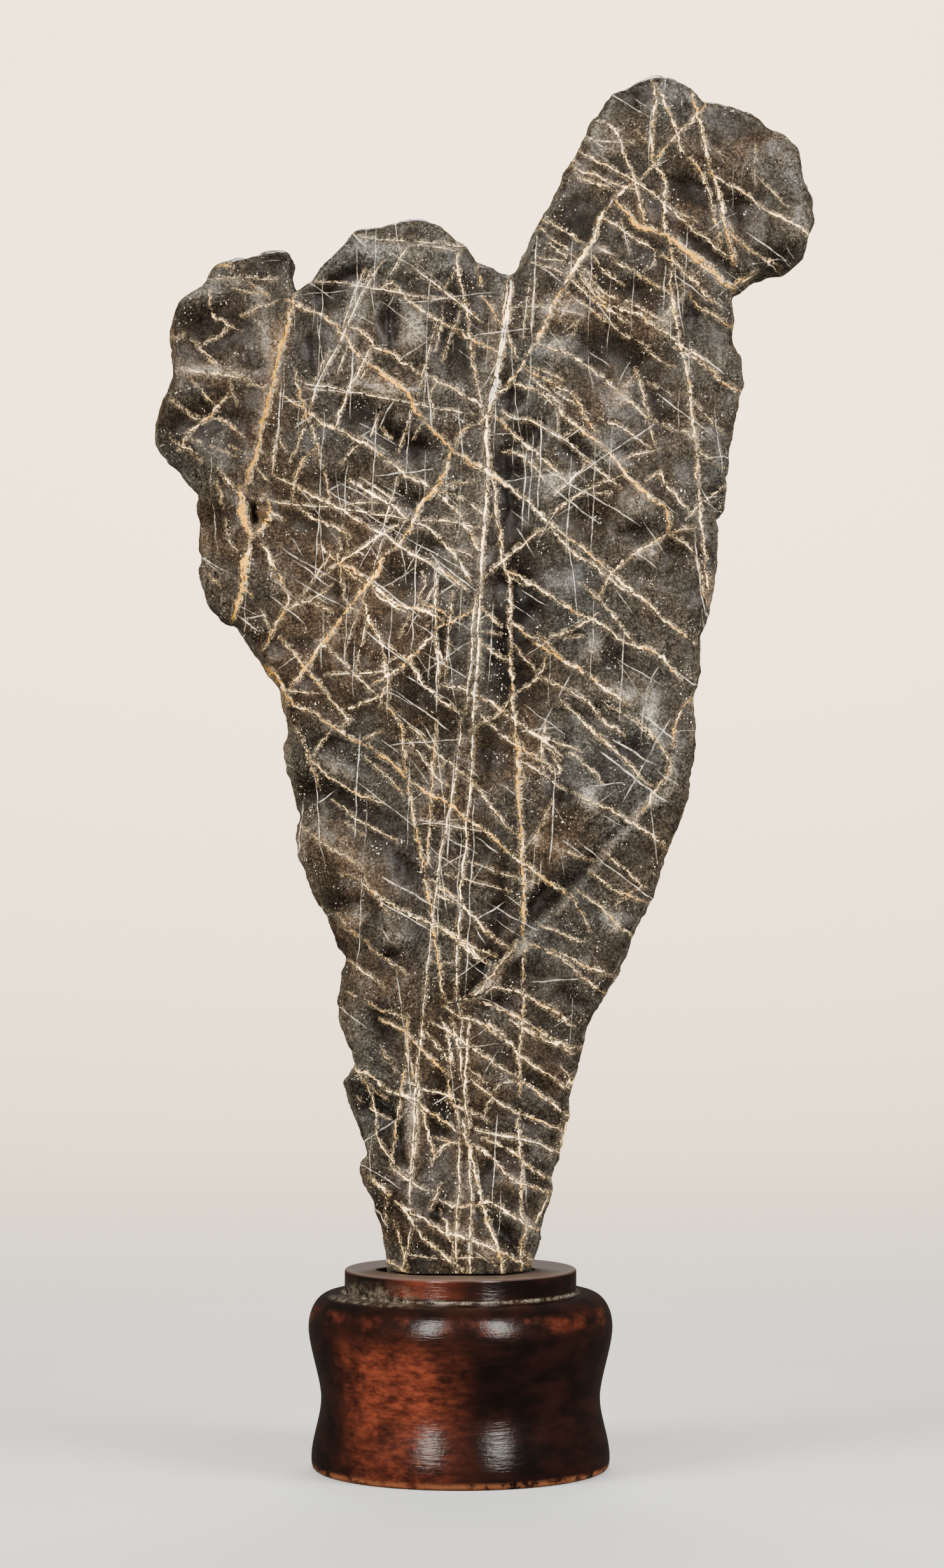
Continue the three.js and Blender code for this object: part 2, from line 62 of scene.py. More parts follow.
# Turned stand
# The stand is one piece of dark red-brown hardwood, turned on a lathe and lacquered nearly black. The
# lacquer has worn thin along the foot's edge and on the front left, where the red wood shows through;
# that patch is also painted brighter, as the side that the left lamps light.
# An oval slot is cut down into its low collar for the stone's foot. Sizes are in millimetres.
millimetre = 0.001
_, stand_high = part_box("stand")
shoulder_radius = stand_high.x / millimetre
collar_top = stand_high.z / millimetre
foot_radius = 0.981 * shoulder_radius
waist_radius = 0.917 * shoulder_radius
collar_radius = 0.762 * shoulder_radius
shoulder_flat_radius = 0.833 * shoulder_radius
shoulder_round_radius = 0.938 * shoulder_radius
shoulder_top = collar_top - 5
foot_height, waist_height, shoulder_height, flare_ease = 2.4, 15, 30, 4
foot_edge, collar_edge = 1.2, 0.7
slot_centre = (-1.1, -2.7)
slot_half_length, slot_half_width, slot_depth = 16.8, 10.6, 15
slot_edge = 0.35
stand_turns = 180
profile_steps, foot_edge_steps, rim_steps, top_steps = 12, 6, 5, 4
slot_edge_drop, slot_wall_drop = 0.08, 4


def bezier(start, first, second, end, steps):
    """Points along a curve with two handles, without its starting point."""
    points = []
    for step in range(1, steps + 1):
        share = step / steps
        rest = 1 - share
        points.append([
            rest ** 3 * a + 3 * rest ** 2 * share * b + 3 * rest * share ** 2 * c + share ** 3 * d
            for a, b, c, d in zip(start, first, second, end)
        ])
    return points


def stand_profile():
    """The turned outside, as radius and height, from the foot's underside up to the collar's top."""
    foot = (foot_radius, foot_height)
    waist = (waist_radius, waist_height)
    shoulder = (shoulder_radius, shoulder_height)
    flat = (shoulder_flat_radius, shoulder_top)
    profile = [(foot_radius - foot_edge, 0)]
    profile += bezier(profile[0], (foot_radius - 0.3, 0), (foot_radius, 0.6), foot, foot_edge_steps)
    profile += bezier(foot, (foot_radius, foot_height + flare_ease),
                      (waist_radius, waist_height - flare_ease), waist, profile_steps)
    profile += bezier(waist, (waist_radius, waist_height + flare_ease),
                      (shoulder_radius, shoulder_height - flare_ease), shoulder, profile_steps)
    profile += bezier(shoulder, (shoulder_radius, shoulder_height + flare_ease),
                      (shoulder_round_radius, shoulder_top), flat, profile_steps)
    profile += [(collar_radius + 0.5, shoulder_top), (collar_radius + 0.1, shoulder_top + 0.12)]
    profile += [(collar_radius, shoulder_top + 0.5), (collar_radius, collar_top - collar_edge)]
    rim = (collar_radius - collar_edge, collar_top)
    profile += bezier(profile[-1], (collar_radius, collar_top - 0.25),
                      (collar_radius - 0.25, collar_top), rim, rim_steps)
    return profile


def make_object(name, points, faces, smooth=True):
    """A mesh object from points in millimetres."""
    mesh = bpy.data.meshes.new(name)
    mesh.from_pydata([[value * millimetre for value in point] for point in points], [], faces)
    mesh.polygons.foreach_set("use_smooth", [smooth] * len(mesh.polygons))
    mesh.update()
    thing = bpy.data.objects.new(name, mesh)
    bpy.context.scene.collection.objects.link(thing)
    return thing


def make_stand():
    """Rings of points up the turned outside, over the top to the slot's edge, and down to its floor.
    Each ring is an oval with half its length and width, its middle and its height."""
    ovals = [(radius, radius, 0, 0, height) for radius, height in stand_profile()]
    top_outer = collar_radius - collar_edge
    for step in range(1, top_steps + 1):
        share = step / top_steps
        along = top_outer + (slot_half_length + slot_edge - top_outer) * share
        across = top_outer + (slot_half_width + slot_edge - top_outer) * share
        ovals.append((along, across, slot_centre[0] * share, slot_centre[1] * share, collar_top))
    slot = ((0.3 * slot_edge, slot_edge_drop), (0, slot_edge), (0, slot_wall_drop), (0, slot_depth))
    for wider, drop in slot:
        ovals.append((slot_half_length + wider, slot_half_width + wider, *slot_centre, collar_top - drop))
    points = []
    for along, across, middle_x, middle_y, height in ovals:
        for turn in range(stand_turns):
            angle = 2 * math.pi * turn / stand_turns
            points.append((middle_x + along * math.cos(angle), middle_y + across * math.sin(angle), height))
    faces = []
    for ring in range(len(ovals) - 1):
        for turn in range(stand_turns):
            following = (turn + 1) % stand_turns
            low, high = ring * stand_turns, (ring + 1) * stand_turns
            faces.append((low + turn, low + following, high + following, high + turn))
    faces.append(list(reversed(range(stand_turns))))
    faces.append(list(range((len(ovals) - 1) * stand_turns, len(ovals) * stand_turns)))
    return make_object("turned_stand", points, faces)


def place(tree, kind, inputs=None, **settings):
    """Adds one shader node; an input is a value or another node's output."""
    node = tree.nodes.new(kind)
    for name, value in settings.items():
        setattr(node, name, value)
    for key, value in (inputs or {}).items():
        if isinstance(value, bpy.types.NodeSocket):
            tree.links.new(value, node.inputs[key])
        else:
            node.inputs[key].default_value = value
    return node


def maths(tree, operation, *values, clamped=False):
    """The result of one operation on numbers and other nodes' outputs."""
    node = place(tree, "ShaderNodeMath", dict(enumerate(values)), operation=operation, use_clamp=clamped)
    return node.outputs[0]


def plus(tree, first, second, clamped=False):
    return maths(tree, "ADD", first, second, clamped=clamped)


def minus(tree, first, second):
    return maths(tree, "SUBTRACT", first, second)


def times(tree, first, second, clamped=False):
    return maths(tree, "MULTIPLY", first, second, clamped=clamped)


def scaled(tree, vector, factor):
    """A vector or a colour, made larger or brighter."""
    return place(tree, "ShaderNodeVectorMath", {0: vector, "Scale": factor}, operation="SCALE").outputs[0]


def axes(tree, vector):
    """The three parts of a place, a direction or any three numbers kept together."""
    return place(tree, "ShaderNodeSeparateXYZ", {0: vector}).outputs


def ramp(tree, value, low, high, start=0.0, end=1.0):
    """Runs smoothly from start to end as the value goes from low to high."""
    inputs = {"Value": value, "From Min": low, "From Max": high, "To Min": start, "To Max": end}
    return place(tree, "ShaderNodeMapRange", inputs, interpolation_type="SMOOTHSTEP").outputs[0]


def blend_colour(tree, share, first, second):
    """The first colour where the share is 0 and the second where it is 1. A mix node that is set to
    colours has its factor, two colours and result at these sockets."""
    factor, first_colour, second_colour, result = 0, 6, 7, 2
    inputs = {factor: share, first_colour: first, second_colour: second}
    return place(tree, "ShaderNodeMix", inputs, data_type="RGBA").outputs[result]


def cloud(tree, place_mm, size, detail=3.0, roughness=0.55, stretch=None):
    """Soft noise from 0 to 1 whose patches are about size millimetres across."""
    vector = place_mm
    if stretch:
        stretched = place(tree, "ShaderNodeVectorMath", {0: place_mm, 1: stretch}, operation="MULTIPLY")
        vector = stretched.outputs[0]
    inputs = {"Vector": vector, "Scale": 1 / size, "Detail": detail, "Roughness": roughness}
    return place(tree, "ShaderNodeTexNoise", inputs).outputs["Fac"]


def new_group(name, inputs, outputs, output_kind="NodeSocketFloat"):
    """An empty shader node group, with the sockets at its two ends. An input without a value is a
    vector, and any other a number."""
    group = bpy.data.node_groups.new(name, "ShaderNodeTree")
    for key, value in inputs.items():
        kind = "NodeSocketVector" if value is None else "NodeSocketFloat"
        socket = group.interface.new_socket(name=key, in_out="INPUT", socket_type=kind)
        if value is not None:
            socket.default_value = value
    for key in outputs:
        group.interface.new_socket(name=key, in_out="OUTPUT", socket_type=output_kind)
    return group, group.nodes.new("NodeGroupInput").outputs, group.nodes.new("NodeGroupOutput").inputs


def use_group(tree, group, inputs):
    """Places a group in a material, with that material's own values."""
    return place(tree, "ShaderNodeGroup", inputs, node_tree=group).outputs


def make_in_millimetres():
    """Where a point of the surface is, in millimetres."""
    group, _, out = new_group("place in millimetres", {}, ["Place"], "NodeSocketVector")
    at = place(group, "ShaderNodeTexCoord").outputs["Object"]
    group.links.new(scaled(group, at, 1 / millimetre), out["Place"])
    return group


def make_dust():
    """Pale lint and dust that lies where Amount is above zero: a soft film with short fibres in it."""
    group, given, out = new_group("dust", {"Place": None, "Amount": 0.0}, ["Mask"])
    film = ramp(group, cloud(group, given["Place"], 1.6, 5, 0.7), 0.42, 0.66)
    fibres = place(group, "ShaderNodeTexNoise", {
        "Vector": given["Place"], "Scale": 1.1, "Detail": 1.0, "Distortion": 1.8,
    }).outputs["Fac"]
    fibre_line = ramp(group, maths(group, "ABSOLUTE", minus(group, fibres, 0.5)), 0.0, 0.02, 1, 0)
    both = maths(group, "MAXIMUM", times(group, film, 0.75), fibre_line)
    group.links.new(times(group, both, given["Amount"], clamped=True), out["Mask"])
    return group


in_millimetres = make_in_millimetres()
dust = make_dust()
# Red wood under thin lacquer, its colours painted bright as where the left lamps light it
lit_red_wood = ((0.028, 0.0058, 0.0036, 1), (0.078, 0.0172, 0.0078, 1))
thick_lacquer = ((0.0018, 0.0011, 0.0009, 1), (0.0061, 0.0021, 0.0015, 1))
bare_wood = (0.10, 0.035, 0.015, 1)
dry_grain = ((0.014, 0.009, 0.0065, 1), (0.05, 0.036, 0.027, 1))
rubbed_and_lit_rim = (0.05, 0.032, 0.026, 1)
pale_dust = (0.12, 0.10, 0.07, 1)
flame_angle, glow_angle, heap_angle = -0.46, -0.3, -0.85


def new_material(name):
    """A new material with its node tree and its one shader."""
    material = bpy.data.materials.new(name)
    material.use_nodes = True
    return material, material.node_tree, material.node_tree.nodes["Principled BSDF"]


def band(tree, value, middle, half, soft):
    """1 within half of the middle, fading to 0 over soft."""
    away = maths(tree, "ABSOLUTE", minus(tree, value, middle))
    return ramp(tree, away, half, half + soft, 1, 0)


def lacquered_wood():
    """The stand's lacquer. Angles go round from the front, in radians, and are below 0 on the left."""
    material, tree, shader = new_material("lacquered hardwood")
    at = use_group(tree, in_millimetres, {})["Place"]
    here = axes(tree, at)
    height = here["Z"]
    squares = plus(tree, maths(tree, "POWER", here["X"], 2.0), maths(tree, "POWER", here["Y"], 2.0))
    radius = maths(tree, "SQRT", squares)
    around = maths(tree, "ARCTAN2", here["X"], times(tree, here["Y"], -1.0))

    # The thin place in the lacquer: a wide patch on the front left, mottled like a flame, and painted
    # brighter as where the left lamps light it
    patch = times(tree, band(tree, around, flame_angle, 0.12, 0.52), ramp(tree, height, 34.0, 26.0))
    flame = cloud(tree, at, 6.5, 4, 0.6, (1.0, 1.0, 0.75))
    streak = cloud(tree, at, 2.6, 5, 0.68, (0.8, 0.8, 1.9))
    mottle = ramp(tree, plus(tree, flame, times(tree, streak, 0.5)), 0.5, 0.95, 0.2, 1.0)
    # Painted light: the patch is brightest at mid height
    brightest = plus(tree, 0.5, times(tree, band(tree, height, 20.0, 3.0, 9.0), 0.55))
    thin_and_lit = times(tree, times(tree, patch, mottle), brightest)
    shoulder_patches = ramp(tree, cloud(tree, at, 7.0, 3, 0.6), 0.44, 0.66)
    shoulder_wear = times(tree, band(tree, height, 33.3, 0.7, 1.7), shoulder_patches)
    thin_and_lit = maths(tree, "MAXIMUM", thin_and_lit, times(tree, shoulder_wear, 0.42))
    # A painted glow of light on the collar's lower front left as well
    collar_glow = times(tree, band(tree, around, glow_angle, 0.12, 0.3), ramp(tree, height, 37.8, 39.0))
    thin_and_lit = maths(tree, "MAXIMUM", thin_and_lit, times(tree, collar_glow, 0.5))

    # The red wood under thin lacquer, painted bright as where it is lit, and the nearly black of thick
    # lacquer
    glow = blend_colour(tree, ramp(tree, streak, 0.3, 0.7), *lit_red_wood)
    depth = ramp(tree, cloud(tree, at, 9.0, 4, 0.6, (1, 1, 2.2)), 0.35, 0.7)
    deep = blend_colour(tree, depth, *thick_lacquer)
    colour = blend_colour(tree, thin_and_lit, deep, glow)

    # The worn edge of the foot, down to bare brown wood in places
    edge = times(tree, ramp(tree, height, 1.9, 0.6), ramp(tree, cloud(tree, at, 3.0, 5, 0.7), 0.38, 0.56))
    colour = blend_colour(tree, times(tree, edge, 0.8), colour, bare_wood)

    # The collar's top is dry wood with fine straight grain
    on_top = times(tree, ramp(tree, height, collar_top - 0.35, collar_top - 0.1),
                   ramp(tree, radius, collar_radius, collar_radius - 0.5))
    grain = cloud(tree, at, 1.3, 4, 0.65, (0.16, 1.4, 1.0))
    dry = blend_colour(tree, grain, *dry_grain)
    colour = blend_colour(tree, times(tree, on_top, 0.85), colour, dry)
    # The collar's rounded rim: rubbed wood with a painted highlight along it
    rim = times(tree, band(tree, radius, collar_radius - 0.35, 0.15, 0.3),
                ramp(tree, height, collar_top - 0.6, collar_top - 0.3))
    colour = blend_colour(tree, times(tree, rim, 0.5), colour, rubbed_and_lit_rim)

    # Dust in the corner under the collar, thick at the left
    corner = band(tree, height, shoulder_top, 0.25, 0.5)
    inside = times(tree, band(tree, radius, collar_radius, 0.35, 0.8), corner)
    on_shoulder = times(tree, ramp(tree, height, collar_top - 0.4, shoulder_top + 0.4),
                        ramp(tree, height, shoulder_top - 0.8, shoulder_top - 0.2))
    left_heap = times(tree, band(tree, around, heap_angle, 0.28, 0.35), on_shoulder)
    amount = maths(tree, "MAXIMUM", times(tree, inside, 0.8), times(tree, left_heap, 0.45))
    lint = use_group(tree, dust, {"Place": at, "Amount": amount})["Mask"]
    colour = blend_colour(tree, lint, colour, pale_dust)
    tree.links.new(colour, shader.inputs["Base Color"])

    # Gloss that is broken by turning marks and fine scratches
    marks = cloud(tree, at, 0.55, 3, 0.6, (0.12, 0.12, 1.0))
    crackle = cloud(tree, at, 1.4, 5, 0.7)
    rough = plus(tree, times(tree, crackle, 0.12), times(tree, marks, 0.08))
    rough = plus(tree, rough, 0.07)
    dull = times(tree, maths(tree, "MAXIMUM", on_top, lint), 0.35)
    rough = plus(tree, rough, dull, clamped=True)
    tree.links.new(rough, shader.inputs["Roughness"])
    relief = plus(tree, times(tree, marks, 0.7), times(tree, crackle, 0.5))
    bump = place(tree, "ShaderNodeBump", {"Height": relief, "Strength": 0.28, "Distance": 0.0004})
    tree.links.new(bump.outputs[0], shader.inputs["Normal"])
    shader.inputs["Specular IOR Level"].default_value = 0.4
    return material


stand = make_stand()
stand.data.materials.append(lacquered_wood())
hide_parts("stand")
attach(stand, "root")


# Stone
# The stone is one slab of dark limestone, worn by water into soft lumps and hollows, with a second layer
# raised along the lower right and a small open hollow on its left seam. It has been rubbed to a low
# polish. Calcite has filled its cracks, so each vein goes through the whole thickness of the slab.

# In the photograph's pixels: the stone's top, the floor at the stand's axis, that axis, and the point
# that the camera looks straight at. Its distance and all other sizes are in millimetres.
photo_top, photo_floor, photo_axis = 121, 2305, 724
eye_x, eye_y = 742, 1430
eye_distance = 743
outline_forward = 4.6
overall_height = (cad_box[1].z - cad_box[0].z) / millimetre
outline_scale = 1 - outline_forward / eye_distance
pixel = overall_height / (photo_floor - eye_y + (eye_y - photo_top) * outline_scale)
softest_bend, bend_range, hardest_crease = 0.5, 1.2, 0.75
same_point = 1e-6
seed_step, noise_gain = (17.3, -9.1, 5.7), 1.6
dip_right, dip_down = 0.42, 0.25
curve_step = 1.2


def make_rough_slab():
    """The CAD solid, with its split points joined, smoothed and divided into small faces. Its sharper
    edges keep some of their sharpness."""
    source = bmesh.new()
    source.from_mesh(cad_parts["stone"].data)
    bmesh.ops.remove_doubles(source, verts=source.verts, dist=same_point)
    points = [vertex.co / millimetre for vertex in source.verts]
    source.verts.index_update()
    faces = [[vertex.index for vertex in face.verts] for face in source.faces]
    creased = {}
    for edge in source.edges:
        bend = (edge.calc_face_angle(0.0) - softest_bend) / bend_range
        ends = tuple(sorted(vertex.index for vertex in edge.verts))
        creased[ends] = min(max(bend, 0.0), hardest_crease)
    source.free()
    rough = make_object("rough_slab", points, faces)
    creases = rough.data.attributes.new("crease_edge", "FLOAT", "EDGE")
    creases.data.foreach_set("value", [creased[tuple(sorted(edge.vertices))] for edge in rough.data.edges])
    rough.modifiers.new("smooth", "SUBSURF").levels = 2
    smoothed = rough.evaluated_get(bpy.context.evaluated_depsgraph_get())
    mesh = bpy.data.meshes.new_from_object(smoothed)
    bpy.data.objects.remove(rough)
    slab = bpy.data.objects.new("veined_slab", mesh)
    bpy.context.scene.collection.objects.link(slab)
    return slab


slab = make_rough_slab()
count = len(slab.data.vertices)
flat = np.zeros(count * 3, np.float32)
slab.data.vertices.foreach_get("co", flat)
rest = flat.reshape(-1, 3).astype(float) / millimetre
slab.data.vertex_normals.foreach_get("vector", flat)
normals = flat.reshape(-1, 3).astype(float)


def soft_noise(points, size, seed):
    """Noise from about -1 to 1 at each point, with bumps about size millimetres across."""
    shift = seed * Vector(seed_step)
    return np.array([noise.noise(Vector(point) / size + shift) for point in points]) * noise_gain


def tiers(*rows):
    """Noise over the whole slab in tiers: each has its height, the size of its bumps and its seed."""
    return sum(height * soft_noise(rest, size, seed) for height, size, seed in rows)


def seen_from_eye(points):
    """Where each point is seen in the upright plane through the stand's axis, in millimetres right of
    and above the eye. The veins of the back lie aside from the front's, because they dip."""
    right = points[:, 0] - (eye_x - photo_axis) * pixel
    up = points[:, 2] - (photo_floor - eye_y) * pixel
    nearness = eye_distance / (eye_distance + points[:, 1])
    behind = np.clip(points[:, 1], 0, None)
    return np.stack([right * nearness + dip_right * behind, up * nearness - dip_down * behind], axis=1)


def on_picture(pixels):
    """Pixels of the photograph, in the same millimetres."""
    pixels = np.asarray(pixels, float)
    return np.stack([(pixels[:, 0] - eye_x) * pixel, (eye_y - pixels[:, 1]) * pixel], axis=1)


def read_line(text):
    """A line written as pixels of the photograph, "x,y x,y …", in millimetres."""
    return on_picture([pair.split(",") for pair in text.split()])


def drawn_smoothly(corners):
    """The line through the corners as short steps, on a smooth curve."""
    padded = np.vstack([2 * corners[0] - corners[1], corners, 2 * corners[-1] - corners[-2]])
    line = [corners[0]]
    for before, start, end, after in zip(padded, padded[1:], padded[2:], padded[3:]):
        steps = max(1, round(float(np.linalg.norm(end - start)) / curve_step))
        for step in range(1, steps + 1):
            share = step / steps
            bend = (2 * start + (end - before) * share
                    + (2 * before - 5 * start + 4 * end - after) * share ** 2
                    + (3 * start - before - 3 * end + after) * share ** 3)
            line.append(bend / 2)
    return np.array(line)


def measured_from(line, points):
    """For each point: how far right of the line it is seen, how far along the line, and how far inside
    the line's ends (negative beyond them)."""
    best = np.full(len(points), np.inf)
    side, passed, inside = np.zeros(len(points)), np.zeros(len(points)), np.zeros(len(points))
    lengths = np.linalg.norm(np.diff(line, axis=0), axis=1)
    starts = np.concatenate([[0], np.cumsum(lengths)])
    for index, length in enumerate(lengths):
        along = (line[index + 1] - line[index]) / length
        away = points - line[index]
        forward = away @ along
        across = away[:, 0] * along[1] - away[:, 1] * along[0]
        held = np.clip(forward, 0, length)
        distance = np.hypot(forward - held, across)
        nearer = distance < best
        best[nearer] = distance[nearer]
        side[nearer] = np.where(across < 0, -1, 1)[nearer]
        passed[nearer] = starts[index] + held[nearer]
        from_start = starts[index] + (forward if index == 0 else held)
        from_end = starts[-1] - starts[index] - (forward if index == len(lengths) - 1 else held)
        inside[nearer] = np.minimum(from_start, from_end)[nearer]
    return best * side, passed, inside
